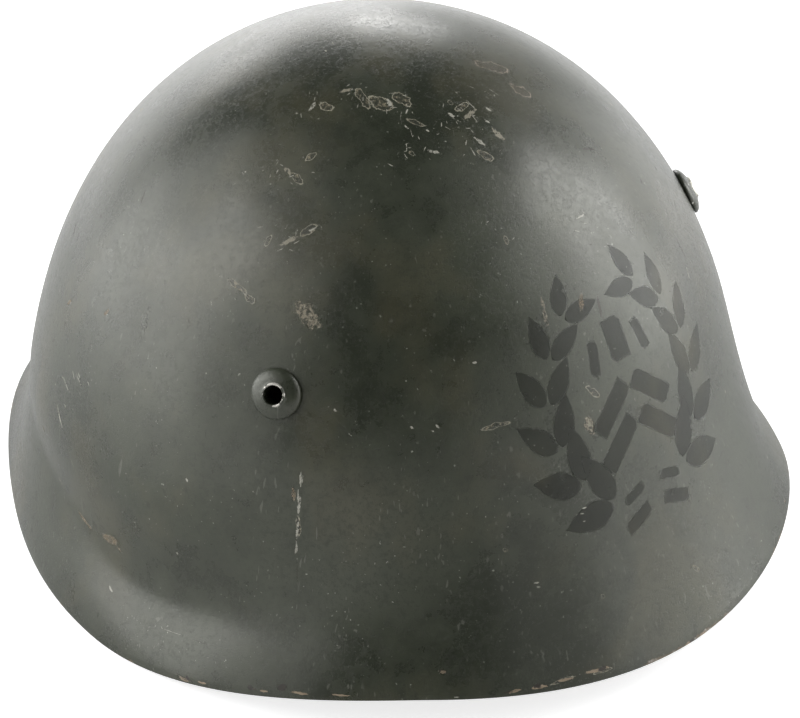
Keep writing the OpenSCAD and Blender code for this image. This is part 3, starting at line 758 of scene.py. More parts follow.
def wool():
    """Pressed grey felt with fibres that lie in all directions."""
    finish = Finish("grey felt")
    tree = finish.tree
    fibres = None
    for turn in ((0.2, 0.4, 0.0), (1.3, 0.2, 0.9), (0.6, 1.5, 2.2)):
        turned = add(
            tree, "ShaderNodeMapping", Vector=finish.place, Rotation=turn, Scale=(1.0, 1.0, 0.12)
        )
        strand = noise(turned, 2600.0, 2.0, 0.6)
        fibres = strand if fibres is None else fibres.at_least(strand)
    clumps = noise(finish.place, 240.0, 4.0, 0.6)
    tone = (0.6 * step(fibres, 0.5, 0.75) + 0.5 * clumps).clamp()
    finish.set(
        Base_Color=blend(tone, shade(70, 68, 60), shade(138, 134, 120)),
        Roughness=0.92 - 0.1 * clumps, Sheen_Weight=0.35, Sheen_Roughness=0.6
    )
    finish.bump(fibres + 0.6 * clumps, 0.8, 0.0004)
    return finish.material


def mark(name, colour_of, roughness, raggedness, edge, grain):
    """A mark on the paint, ragged and see-through where its own fall value runs out."""
    finish = Finish(name)
    ragged = noise(finish.place, grain, 5.0, 0.65)
    inner = noise(finish.place, 800.0, 4.0, 0.7)
    fall = attribute(finish.tree, "fall") + (ragged - 0.5) * raggedness
    colour, cover = colour_of(fall - edge[0], inner)
    finish.set(Base_Color=colour, Roughness=roughness)
    return finish.film(step(fall, *edge) * cover).material


def ring_colour(depth, inner):
    """A thin pale broken edge, with the paint of an older coat showing through inside."""
    pale = blend(inner, shade(96, 94, 82), shade(170, 166, 148))
    old = blend(step(inner, 0.5, 0.62), shade(52, 53, 44), shade(138, 130, 110))
    inside = step(depth + (inner - 0.5) * 0.45, 0.08, 0.18)
    broken = step(inner, 0.34, 0.44)
    return blend(inside, pale, old), 0.35 + 0.65 * broken - 0.4 * inside


def chip_colour(depth, inner):
    """Mostly scraped pale, with dark pits left in it."""
    pale = blend(inner, shade(100, 97, 83), shade(166, 160, 142))
    return blend(step(inner, 0.5, 0.58), pale, shade(58, 57, 47)), step(inner, 0.28, 0.4) * 0.9


def between(low, high, cover):
    """The colours of a mark of two shades, and how its inner noise says that it covers."""
    def colours(depth, inner):
        return blend(inner, shade(*low), shade(*high)), cover(inner)

    return colours


streak_colour = between((104, 102, 90), (196, 194, 182), lambda inner: step(inner, 0.3, 0.5) * 0.85)
dark_colour = between((30, 30, 25), (66, 60, 48), lambda inner: 0.85 + 0.1 * inner)
edge_colour = between((92, 76, 58), (172, 156, 132), lambda inner: 0.9)
nick_colour = between((22, 21, 17), (52, 46, 36), lambda inner: 0.95)


def brown_colour(depth, inner):
    """A pale scraped edge and a thin brown haze over the paint inside it."""
    pale = blend(inner, shade(104, 96, 84), shade(172, 160, 146))
    inside = step(depth + (inner - 0.5) * 0.5, 0.06, 0.18)
    return blend(inside, pale, shade(76, 70, 58)), 0.9 - 0.5 * inside


def rust_colour(depth, inner):
    brown = blend(step(inner, 0.35, 0.65), shade(84, 74, 60), shade(136, 122, 102))
    return brown, (0.6 + 0.3 * inner) * 0.85


def rub_colour(depth, inner):
    """Rubbed through in specks: tan, pale and dark beside each other."""
    tan = blend(step(inner, 0.44, 0.6), shade(64, 62, 50), shade(138, 130, 112))
    return blend(step(inner, 0.6, 0.7), tan, shade(176, 172, 158)), step(inner, 0.36, 0.5) * 0.85


def graze_colour(depth, inner):
    """Fine dark lines side by side."""
    return shade(50, 50, 42), step(inner, 0.5, 0.62) * 0.7


# Rims and tubes made by turning or sweeping a section

def ring_faces(rings, size, closed_path, closed_ring=True):
    """Faces between rings of size points each, in order."""
    faces = []
    for j in range(rings if closed_path else rings - 1):
        k = (j + 1) % rings
        for i in range(size if closed_ring else size - 1):
            n = (i + 1) % size
            faces.append((j * size + i, j * size + n, k * size + n, k * size + i))
    return faces


def outward(mesh):
    """Turns the faces so that the closed mesh has a positive volume."""
    mesh.calc_loop_triangles()
    volume = 0.0
    for triangle in mesh.loop_triangles:
        a, b, c = (mesh.vertices[i].co for i in triangle.vertices)
        volume += a.dot(b.cross(c))
    if volume < 0:
        mesh.flip_normals()
    return mesh


def swept(name, rings, closed_path=True, numbers=None):
    """A closed mesh through rings of points; open paths get a cap at each end."""
    size = len(rings[0])
    points = [p for ring in rings for p in ring]
    faces = ring_faces(len(rings), size, closed_path)
    if not closed_path:
        faces += [tuple(range(size)), tuple(range(len(points) - size, len(points)))[::-1]]
    return outward(mesh_of(name, points, faces, numbers))


def joined(name, meshes):
    """One mesh from several."""
    whole = bmesh.new()
    for mesh in meshes:
        whole.from_mesh(mesh)
    made = bpy.data.meshes.new(name)
    whole.to_mesh(made)
    whole.free()
    return made


def dress(shape, material, body, slot, *nodes):
    """Shows a finished mesh or object as a piece on its body, in place of the nodes."""
    piece = shape if isinstance(shape, bpy.types.Object) else show(shape.name, shape)
    piece.data.materials.clear()
    piece.data.materials.append(material)
    if nodes:
        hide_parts(*nodes)
    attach(piece, body)
    return piece


def oval(side, e):
    """A point on the liner's oval, a distance outside the band's outer face."""
    e = radians(e)
    return ((BAND_HALF_WIDTH + side) * sin(e), LENGTH_SHIFT - (BAND_HALF_LENGTH + side) * cos(e))


def rounded_section(width, thickness, rounding, pillow=0.0, steps=4, across_steps=6):
    """A flat strip's section as (across, out) points, with round edges and a slight crown."""
    points = []
    half, deep = width / 2, thickness / 2
    corners = ((1, 1, 0), (-1, 1, 90), (-1, -1, 180), (1, -1, 270))
    for n, (sx, sy, start) in enumerate(corners):
        for k in range(steps + 1):
            w = radians(start + 90 * k / steps)
            x = sx * (half - rounding) + rounding * cos(w)
            y = sy * (deep - rounding) + rounding * sin(w)
            points.append((x, y))
        if n in (0, 2):
            for k in range(1, across_steps):
                t = k / across_steps
                x = sx * (half - rounding) * (1 - 2 * t)
                points.append((x, sy * (deep + pillow * sin(pi * t))))
    return points


def direction_of(a, b):
    return Vector((b[0] - a[0], b[1] - a[1])).normalized()


def thickened(path, thickness, steps=5):
    """The closed outline of a bent strip from its middle line, with round ends."""
    def direction(i):
        return direction_of(path[max(0, i - 1)], path[min(len(path) - 1, i + 1)])

    half = thickness / 2
    left, right = [], []
    for i, p in enumerate(path):
        d = direction(i)
        left.append((p[0] - d.y * half, p[1] + d.x * half))
        right.append((p[0] + d.y * half, p[1] - d.x * half))
    outline = list(left)
    for end, sign, p in ((direction(len(path) - 1), 1, path[-1]), (direction(0), -1, path[0])):
        for k in range(1, steps):
            w = pi * k / steps
            c, s = cos(w) * half, sin(w) * half
            outline.append(
                (p[0] + sign * (-end.y * c + end.x * s), p[1] + sign * (end.x * c + end.y * s))
            )
        if sign == 1:
            outline += right[::-1]
    return outline


def rounded_path(points, radius, steps=6):
    """An open path with its corners rounded."""
    path = [points[0]]
    for a, b, c in zip(points, points[1:], points[2:]):
        a, b, c = Vector(a), Vector(b), Vector(c)
        u, v = (a - b).normalized(), (c - b).normalized()
        half = u.angle(v) / 2
        reach = radius / tan(half)
        centre = b + (u + v).normalized() * radius / sin(half)
        start, end = b + u * reach - centre, b + v * reach - centre
        for k in range(steps + 1):
            path.append(tuple(centre + start.slerp(end, k / steps)))
    path.append(points[-1])
    return path


# The shell, from the trees above
point_tree = shell_point_tree()
skin_tree = shell_skin_tree(point_tree)
paint = painted("helmet paint", wear=rim_wear, rust=0.62)
shell = grown("pressed_shell", shell_form_tree(point_tree, skin_tree), Material=paint)
dress(shell, paint, "helmet", "shell_paint", "shell")

# Vent rivets

def vent_rivet_tree(skin_tree):
    """Geometry group: stands a hollow rivet (flange, domed head, worn lip, tube and the end rolled
    over inside) square to the shell at a vent.
    """
    tree, given = group(
        "vent rivet",
        {
            "Geometry": "geometry", **SHELL, "Angle": 61.0, "Vent Height": VENT_HEIGHT,
            "Material": "material"
        }
    )
    named = shell_sizes(given)
    slope = slope_at(given, given.vent_height)
    skin = use(tree, skin_tree, Angle=given.angle, Slope=slope, **named)
    moved = geo(
        tree, "Transform", Geometry=given.geometry, Rotation=turned_to(skin["Normal"]),
        Translation=in_metres(skin["Point"])
    )
    return finished(tree, given, moved)


def turned_rivet(name, inside, seed):
    """The rivet upright at the origin, from its profile of (radius, height)."""
    def on_dome(radius):
        return VENT_EDGE + (VENT_DOME - VENT_EDGE) * sqrt(1 - (radius / VENT_HEAD) ** 2)

    top = on_dome(VENT_LIP) + 0.6
    bore = [(VENT_BORE, inside - 0.9), (VENT_BORE, 1.0), (VENT_BORE, top - 0.4)]
    lip = [
        (VENT_BORE + 0.06, top - 0.14), (VENT_BORE + 0.2, top - 0.01), (VENT_BORE + 0.38, top),
        (VENT_LIP - 0.14, top - 0.08), (VENT_LIP - 0.02, top - 0.28), (VENT_LIP + 0.06, top - 0.48),
        (VENT_LIP + 0.3, on_dome(VENT_LIP + 0.3) + 0.02)
    ]
    start = degrees(asin((VENT_LIP + 0.6) / VENT_HEAD))
    dome = []
    for k in range(15):
        w = radians(start + (90 - start) * k / 14)
        dome.append((VENT_HEAD * sin(w), VENT_EDGE + (VENT_DOME - VENT_EDGE) * cos(w)))
    foot = [(VENT_HEAD, 0.15), (VENT_HEAD - 0.12, 0.0), (VENT_HEAD - 2.0, 0.0), (VENT_TUBE, 0.0)]
    tube = [(VENT_TUBE, inside), (5.0, inside), (5.3, inside - 0.15), (5.36, inside - 0.5)]
    roll = [(5.2, inside - 0.8), (4.9, inside - 0.9), (3.3, inside - 0.9)]
    profile = bore + lip + dome + foot + tube + roll
    shine = [0.0, 0.0, 0.5, 0.9, 1.0, 1.0, 0.95, 0.75, 0.5, 0.3, 0.12]
    shine += [0.0] * (len(profile) - len(shine) - 20) + [0.0] * 20
    draw = random.Random(seed)
    starts = [draw.uniform(0, 6.3) for _ in range(6)]
    rings, worn_lip = [], []
    steps = 120
    for i in range(steps):
        w = 2 * pi * i / steps
        knocked = sum(sin(w * (n + 1) + starts[n]) / (n + 1) for n in range(6)) / 1.6
        knocked = min(1.0, max(0.0, 0.5 + 0.5 * knocked))
        ring = []
        for k, (r, z) in enumerate(profile):
            on_lip = 3 <= k <= 7
            dent = (
                0.28 * knocked ** 2 if on_lip else 0.0, 0.09 * (knocked - 0.5) if on_lip else 0.0
            )
            ring.append(((r + dent[1]) * cos(w), (r + dent[1]) * sin(w), z - dent[0]))
            worn_lip.append(shine[k] * (0.45 + 0.55 * knocked))
        rings.append(ring)
    return swept(name, rings, numbers={"lip": worn_lip})


RIVET_PAINTS = {
    side: painted("vent rivet paint " + side, wear=wear, rust=0.12, grain=0.0012)
    for side, wear in (("right", lip_wear), ("left", head_wear), ("rear", lip_wear))
}
rivet_tree = vent_rivet_tree(skin_tree)
LEAF_DROP = 2.16
for side, angle in zip(("right", "left", "rear"), VENT_ANGLES):
    upright = turned_rivet("vent_rivet", -(LEAF_DROP + 1.0 + SLIP), 3 + int(abs(angle)) % 7)
    rivet_paint = RIVET_PAINTS[side]
    rivet = grown("vent_eyelet_" + side, rivet_tree, upright, Angle=angle, Material=rivet_paint)
    dress(rivet, rivet_paint, "helmet", "shell_paint", "vent_rivet_" + side)


# Liner

def oval_band(name, outline, steps=240, sway=0.0, edge_of=None):
    """Sweeps an outline of (distance outside the band, height) round the liner's oval."""
    rings, edge = [], []
    for i in range(steps):
        e = 360 * i / steps
        shift = sway * sin(radians(e) * 9 + 1.3) * sin(radians(e) * 5)
        ring = []
        for side, z in outline:
            x, y = oval(side + shift, e)
            ring.append((x, y, z))
            edge.append(edge_of(side, z) if edge_of else 0.0)
        rings.append(ring)
    return swept(name, rings, numbers={"edge": edge})


leather_face = -BAND_SHEET - SLIP - FELT - SLIP
felt_outline = [
    (side - BAND_SHEET - SLIP - FELT / 2, z + (BAND_BOTTOM + 1 + BAND_TOP - 1) / 2)
    for z, side in rounded_section(BAND_TOP - BAND_BOTTOM - 2, FELT, 1.3, 0.0, across_steps=8)
]
felt = wool()
dress(oval_band("felt_lining", felt_outline), felt, "helmet", "felt", "felt_strip")

liner_hide = hide("liner leather", shade(78, 55, 36), shade(150, 112, 74), 0.52, cut_edge)
sweat_middle = leather_face - LEATHER / 2
hem_middle = SEAT + LEATHER / 2
turn_bottom = BAND_BOTTOM - SEAT - LEATHER / 2
sweat_line = rounded_path(
    [
        (sweat_middle, SWEATBAND_TOP - LEATHER / 2), (sweat_middle, turn_bottom),
        (hem_middle, turn_bottom), (hem_middle, HEM_TOP - LEATHER / 2)
    ], 1.25
)
dense = [sweat_line[0]] + [
    (sweat_middle, SWEATBAND_TOP - LEATHER / 2 + (sweat_line[1][1] - SWEATBAND_TOP) * k / 9)
    for k in range(1, 9)
] + sweat_line[1:]
sweat_outline = thickened(dense, LEATHER)


def sweat_edge(side, z):
    return 1.0 if z > SWEATBAND_TOP - 0.8 or (side > 0 and z > HEM_TOP - 0.8) else 0.0


dress(
    oval_band("sweatband_leather", sweat_outline, edge_of=sweat_edge), liner_hide, "helmet",
    "leather", "sweatband"
)


def tongue_tree():
    """Leather tongues that follow the liner's dome, each with rounded edges and a lace hole."""
    tree, given = group(
        "liner tongues",
        {
            "Count": TONGUES, "Half Width": BAND_HALF_WIDTH + leather_face,
            "Half Length": BAND_HALF_LENGTH + leather_face, "Base": SWEATBAND_TOP,
            "Rise": TONGUE_RISE, "Reach": degrees(acos(TONGUE_OPENING)), "Slot": TONGUE_SLOT,
            "Leather": LEATHER - 2 * SLIP, "Edge Rounding": 0.9, "Tip Start": 0.82, "Tip End": 1.02,
            "Hole Place": 0.9, "Hole": LACE_HOLE, "Length Shift": LENGTH_SHIFT, "Columns": 36,
            "Rows": 44, "Material": "material"
        }
    )
    grid = geo(
        tree, "MeshGrid", Size_X=2.0, Size_Y=2.0, Vertices_X=given.columns + 1.0,
        Vertices_Y=given.rows * 2.0 + 1.0
    )
    seeds = geo(tree, "Points", Count=given.count)
    copies = geo(tree, "InstanceOnPoints", Points=seeds, Instance=grid)
    copies = kept(tree, copies, "tongue", geo(tree, "InputIndex"), "INSTANCE")
    flat = geo(tree, "RealizeInstances", Geometry=copies)
    number = geo(tree, "InputNamedAttribute", {"data_type": "FLOAT"}, Name="tongue")
    x, y, _ = split(geo(tree, "InputPosition"))
    # Points crowd towards the edges, where the leather rounds off
    u = (x * 90.0).sine()
    fold = 1.0 - y.size()
    v = 0.5 - 0.5 * (fold * 180.0).cosine()
    v = v * 0.6 + fold * 0.4
    under = y.maths("GREATER_THAN", 0.0)
    tilt = v * given.reach
    taper_at = ((v - given.tip_start) / (given.tip_end - given.tip_start)).clamp()
    taper = (1.0 - taper_at * taper_at).maths("SQRT")
    radius = (given.half_width + given.half_length) * 0.5 * tilt.cosine()
    half = (180.0 / given.count - given.slot * 0.5 / radius * RADIAN) * taper
    centre = (number + 0.5) * 360.0 / given.count
    e = centre + u * half
    edge_side = (1.0 - u.size()) * half * radius / RADIAN
    length = (given.half_width + given.rise) * 0.5 * given.reach / RADIAN
    edge = edge_side.at_most(v * length).at_most((1.0 - v) * length)
    near = (1.0 - edge / given.edge_rounding).clamp()
    full = (1.0 - near * near).maths("SQRT")
    place = vector(tree, e.sine() * 90.0, e.cosine() * 90.0, v * 90.0)
    sag = add(tree, "ShaderNodeTexNoise", out="Fac", Vector=place, Scale=0.05, Detail=2.0)
    middle = (sag - 0.5) * 1.6 * v.smooth() - SLIP - given.leather * 0.5
    side = middle + (0.5 - under) * given.leather * full
    wide = given.half_width + side
    long = given.half_length + side
    point = vector(
        tree, wide * e.sine() * tilt.cosine(),
        given.length_shift - long * e.cosine() * tilt.cosine(),
        given.base + (given.rise + side) * tilt.sine()
    )
    flat = kept(tree, flat, "edge", (1.0 - edge / 0.9).clamp())
    closed = joined_up(tree, moved_to(tree, flat, point), 4e-6)
    # Lace holes, square to the dome
    which = geo(tree, "InputIndex")
    hole_e = (which + 0.5) * 360.0 / given.count
    hole_tilt = given.hole_place * given.reach
    reach_x = given.half_width * hole_tilt.cosine()
    reach_y = given.half_length * hole_tilt.cosine()
    hole = vector(
        tree, reach_x * hole_e.sine(), given.length_shift - reach_y * hole_e.cosine(),
        given.base + given.rise * hole_tilt.sine()
    )
    out = vector(
        tree, hole_e.sine() * hole_tilt.cosine() / given.half_width,
        -1.0 * hole_e.cosine() * hole_tilt.cosine() / given.half_length,
        hole_tilt.sine() / given.rise
    )
    bore = given.hole * 0.5
    cut = holed(tree, closed, given.count, hole, out, bore, PUNCH_DEPTH, 32)
    return finished(tree, given, cut, smooth=True)


tongues = grown("tongue_leathers", tongue_tree(), Material=liner_hide)
outward(tongues.data)
dress(tongues, liner_hide, "helmet", "leather", "liner_tongues")


# Stitches that hold the sweatband's turned hem

def stitch_tree():
    """One row of thread stitches round the liner's oval."""
    tree, given = group(
        "stitch row",
        {
            "Half Width": BAND_HALF_WIDTH, "Half Length": BAND_HALF_LENGTH, "Height": 48.5,
            "Count": 130, "Stitch Length": 3.2, "Thread": 0.7, "Slant": 6.0,
            "Length Shift": LENGTH_SHIFT, "Material": "material"
        }
    )
    number = geo(tree, "InputIndex")
    e = number * 360.0 / given.count
    x = given.half_width * e.sine()
    y = given.length_shift - given.half_length * e.cosine()
    spots = spots_at(tree, given.count, vector(tree, x, y, given.height))
    along = vector(
        tree, given.half_width * e.cosine(), given.half_length * e.sine(),
        given.slant.sine() * given.half_width
    )
    thread = geo(tree, "MeshUVSphere", out="Mesh", Segments=8, Rings=6, Radius=0.5 * MM)
    rows = geo(
        tree, "InstanceOnPoints", Points=spots, Instance=thread, Rotation=turned_to(along, "X"),
        Scale=vector(tree, given.stitch_length, given.thread, given.thread)
    )
    return finished(tree, given, rows, smooth=True)


def thread_finish():
    finish = Finish("waxed thread")
    twist = noise(finish.place, 2400.0, 2.0)
    finish.set(
        Base_Color=blend(twist, shade(120, 104, 78), shade(176, 160, 128)),
        Roughness=0.7 - 0.1 * twist
    )
    finish.bump(twist, 0.5, 0.0001)
    return finish.material


stitch_row = stitch_tree()
thread = thread_finish()
STITCHES = 132
HEM_STITCH_HEIGHT = 48.6
for name, offset, height in (
    ("stitches_hem_outside", SEAT + LEATHER, HEM_STITCH_HEIGHT),
    ("stitches_hem_inside", leather_face - LEATHER, HEM_STITCH_HEIGHT),
    ("stitches_tongue_seam", leather_face - LEATHER, SWEATBAND_TOP - 2.0)
):
    stitches = grown(
        name, stitch_row, Half_Width=BAND_HALF_WIDTH + offset,
        Half_Length=BAND_HALF_LENGTH + offset, Height=height, Count=STITCHES, Material=thread
    )
    dress(stitches, thread, "helmet", "leather")


# Chinstrap

def strap_to_helmet(x, y, z):
    """From the strap's own frame (across, down, along its width) to the helmet's."""
    w = radians(180 + REST_TILT)
    c, s = cos(w), sin(w)
    return (x, LENGTH_SHIFT + y * c - z * s, PIVOT_HEIGHT + y * s + z * c)


def run_to_strap(side, x, y):
    """From a straight run's frame, which starts at the hanger's eye, to the strap's frame."""
    w = radians(side * STRAP_LEAN)
    c, s = cos(w), sin(w)
    return (side * EYE_X + x * c - y * s, HANGER_LENGTH + x * s + y * c)


def ribbon(name, path, section, closed=False):
    """Sweeps a strip's section along a flat path in the strap's frame."""
    size = len(path)
    rings, edge = [], []
    half = max(abs(a) for a, _ in section)
    for i, p in enumerate(path):
        before = path[i - 1] if i or closed else p
        after = path[(i + 1) % size] if i < size - 1 or closed else p
        d = direction_of(before, after)
        rings.append(
            [strap_to_helmet(p[0] - d.y * out, p[1] + d.x * out, across) for across, out in section]
        )
        edge += [min(1.0, max(0.0, (abs(across) - half + 0.9) / 0.8)) for across, _ in section]
    return swept(name, rings, closed, {"edge": edge})


def softened(path, rounds=2, closed=False):
    """Cuts the corners of a path, so that the leather bends instead of folding."""
    for _ in range(rounds):
        made = [] if closed else [path[0]]
        pairs = list(zip(path, path[1:] + path[:1] if closed else path[1:]))
        for a, b in pairs:
            made.append((a[0] * 0.75 + b[0] * 0.25, a[1] * 0.75 + b[1] * 0.25))
            made.append((a[0] * 0.25 + b[0] * 0.75, a[1] * 0.25 + b[1] * 0.75))
        path = made if closed else made + [path[-1]]
    return path


def arc(cx, cy, radius, start, end, steps):
    turns = [radians(start + (end - start) * k / steps) for k in range(steps + 1)]
    return [(cx + radius * cos(w), cy + radius * sin(w)) for w in turns]


def bezier(a, b, c, d, steps):
    points = []
    for k in range(1, steps + 1):
        t = k / steps
        s = 1 - t
        points.append(
            tuple(
                a[n] * s ** 3 + 3 * b[n] * s * s * t + 3 * c[n] * s * t * t + d[n] * t ** 3
                for n in (0, 1)
            )
        )
    return points


ring_hole = RING_WIRE / 2 + SLIP
layer = STRAP_LEATHER + SLIP
tail_side = -(RING_WIRE / 2 + SLIP + STRAP_LEATHER / 2)
standing_side = tail_side - layer
loop_side = ring_hole + STRAP_LEATHER / 2
BUCKLE_TOP = 24.0
BAR_TRAVEL = 2.0
BAR_PLACE = 33.35
BUCKLE_FOOT = 40.65
LOOP_BAR = 2.6
RUN_END = 62.0
FOLD_START = 5.0
LAP_END = 23.0
NECK = 40.0
PULL = 30.0
CHIN_PULL = 33.0


def long_strap_path():
    """Tail, foot bar, sliding bar, standing part, chin, and the folded end on the right ring."""
    cross = degrees(asin((LOOP_BAR - tail_side) / (BUCKLE_FOOT - BAR_PLACE)))
    left = [(tail_side, RUN_END + 1.5), (tail_side, (RUN_END + BUCKLE_FOOT) / 2)]
    left += arc(0, BUCKLE_FOOT, tail_side, 0, cross, 6)
    left += arc(0, BAR_PLACE, LOOP_BAR, cross, 0, 4)
    left += arc(0, BAR_PLACE - BAR_TRAVEL, LOOP_BAR, 0, -180, 24)
    left += [
        (-LOOP_BAR, BAR_PLACE), (standing_side, BUCKLE_FOOT - LOOP_BAR / 2),
        (standing_side, (RUN_END + BUCKLE_FOOT) / 2), (standing_side, RUN_END)
    ]
    right = [(layer / 2, RUN_END), (layer / 2, 40.0), (layer / 2, RING_PITCH + FOLD_START)]
    right += arc(0, RING_PITCH, loop_side, 450 - NECK, 90 + NECK, round(36 - NECK / 5))
    right += [(-layer / 2, RING_PITCH + FOLD_START), (-layer / 2, LAP_END + 1.5)]
    lean = (sin(radians(STRAP_LEAN)), cos(radians(STRAP_LEAN)))
    left_end = run_to_strap(1, standing_side, RUN_END)
    right_start = run_to_strap(-1, -layer / 2, RUN_END)
    bottom = (0.0, STRAP_DEPTH)
    bow = bezier(
        left_end, (left_end[0] - lean[0] * PULL, left_end[1] + lean[1] * PULL),
        (CHIN_PULL, STRAP_DEPTH), bottom, 26
    )
    bow += bezier(
        bottom, (-CHIN_PULL, STRAP_DEPTH),
        (right_start[0] + lean[0] * PULL, right_start[1] + lean[1] * PULL), right_start, 26
    )
    path = [run_to_strap(1, *p) for p in left] + bow
    return path + [run_to_strap(-1, -x, y) for x, y in right[1:]]


def short_strap_path():
    """A closed belt round the ring's bar and the buckle's top bar, its layers pressed together."""
    top = arc(0, RING_PITCH, loop_side, 180 - 50, 360 + 50, 22)
    foot = arc(0, BUCKLE_TOP, loop_side, -50, 180 + 50, 22)
    middle = (RING_PITCH + BUCKLE_TOP) / 2
    loop = top + [(layer / 2, middle - 1.5), (layer / 2, middle + 1.5)]
    loop += foot + [(-layer / 2, middle + 1.5), (-layer / 2, middle - 1.5)]
    return [run_to_strap(1, x, y) for x, y in softened(loop, 2, True)]


strap_hide = hide("chinstrap leather", shade(58, 50, 38), shade(112, 98, 72), 0.45, cut_edge)
strap_section = rounded_section(STRAP_WIDTH, STRAP_LEATHER, 0.55, 0.0)
dress(
    ribbon("chinstrap_long", softened(long_strap_path(), 1), strap_section), strap_hide,
    "chinstrap", "leather", "strap_long"
)
dress(
    ribbon("chinstrap_short", short_strap_path(), strap_section, True), strap_hide, "chinstrap",
    "leather", "strap_short"
)


def keeper_mesh():
    """A leather loop round the strap's two layers, with rounded corners."""
    wall, length, room = 1.4, 8.0, 0.3
    low = standing_side - STRAP_LEATHER / 2 - room - wall / 2
    high = tail_side + STRAP_LEATHER / 2 + room + wall / 2
    half = STRAP_WIDTH / 2 + room + wall / 2
    corner = 0.9
    loop = []
    for cx, cz, start in (
        (high - corner, half - corner, 0), (low + corner, half - corner, 90),
        (low + corner, -half + corner, 180), (high - corner, -half + corner, 270)
    ):
        loop += arc(cx, cz, corner, start, start + 90, 6)
    section = rounded_section(length, wall, 0.5, 0.0)
    size = len(loop)
    rings, edge = [], []
    for i, (x, z) in enumerate(loop):
        d = direction_of(loop[i - 1], loop[(i + 1) % size])
        ring = []
        for down, out in section:
            sx, sy = run_to_strap(1, x + d.y * out, 50.0 + down)
            ring.append(strap_to_helmet(sx, sy, z - d.x * out))
            edge.append(1.0 if abs(down) > length / 2 - 0.7 else 0.0)
        rings.append(ring)
    return swept("chinstrap_keeper", rings, True, {"edge": edge})


dress(keeper_mesh(), strap_hide, "keeper", "leather", "strap_keeper")


# Metal parts that keep their CAD mesh

liner_paint = painted(
    "liner band paint", wear=fixed_wear, rust=0.7, stains=0.6, deep=shade(74, 78, 70),
    pale=shade(92, 95, 84)
)
bright_steel = steel("worn buckle steel", shade(96, 94, 88), shade(168, 166, 158), 0.32, 0.5)
rivet_steel = steel("rivet steel", shade(88, 86, 80), shade(150, 148, 140), 0.36, 0.7)
spring_steel = steel("blued spring steel", shade(54, 56, 60), shade(92, 94, 98), 0.34, 0.8)

METAL = (
    (spring_steel, "leaf_spring_right leaf_spring_left leaf_spring_rear"),
    (rivet_steel, "leaf_rivets band_rivets pivot_rivet_right pivot_rivet_left strap_rivets"),
    (liner_paint, "liner_band hanger_right hanger_left"),
    (bright_steel, "strap_ring_right strap_ring_left buckle_frame buckle_bar")
)
for material, names in METAL:
    for name in names.split():
        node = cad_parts[name]
        node.data.materials.clear()
        node.data.materials.append(material)


# Stencilled badge and marks, laid on the shell

def lay_tree(skin_tree):
    """Lays thin flat pieces on the shell as closed films, a hair above the paint."""
    tree, given = group(
        "lay on shell",
        {
            "Geometry": "geometry", "Shell": "object", **SHELL, "Length Shift": LENGTH_SHIFT,
            "Lift": 0.016, "Film": 0.006, "Material": "material"
        }
    )
    named = shell_sizes(given)
    here = geo(tree, "InputPosition")
    near = geo(
        tree, "SampleNearestSurface", {"data_type": "FLOAT_VECTOR"}, out="Value",
        Mesh=geo(tree, "ObjectInfo", out="Geometry", Object=given.shell), Value=here,
        Sample_Position=here
    )
    x, y, z = split(vectors("SCALE", near, 1.0 / MM))
    ahead = given.length_shift - y
    reach = ahead.maths("GREATER_THAN", 0.0).lerp(given.rear, given.front)
    angle = (x / given.half_width).maths("ARCTAN2", ahead / reach).maths("DEGREES")
    skin = use(tree, skin_tree, Angle=angle, Slope=slope_at(given, z), **named)
    lifted = vectors("SCALE", skin["Normal"], skin["Uneven"] + given.lift)
    place = vectors("ADD", skin["Point"], lifted)
    under = moved_to(tree, given.geometry, place)
    facing = vectors("DOT_PRODUCT", geo(tree, "InputNormal"), skin["Normal"])
    under = geo(tree, "FlipFaces", Mesh=under, Selection=facing.maths("LESS_THAN", 0.0))
    extruded = geo(
        tree, "ExtrudeMesh", out="Mesh", Mesh=under, Offset_Scale=given.film * MM, Individual=False
    )
    film = geo(tree, "SetShadeSmooth", Geometry=extruded, Shade_Smooth=True)
    side = Term(tree, extruded.socket.node.outputs["Side"])
    flat_side = geo(tree, "SetShadeSmooth", Geometry=film, Selection=side, Shade_Smooth=False)
    # The underside lets everything through, so that the paint below keeps its light
    clear_below = kept(tree, geo(tree, "FlipFaces", Mesh=under), "fall", 0.0)
    both = tree.nodes.new("GeometryNodeJoinGeometry")
    tree.links.new(flat_side.socket, both.inputs[0])
    tree.links.new(clear_below.socket, both.inputs[0])
    return finished(tree, given, joined_up(tree, Term(tree, both.outputs[0]), 1e-8))


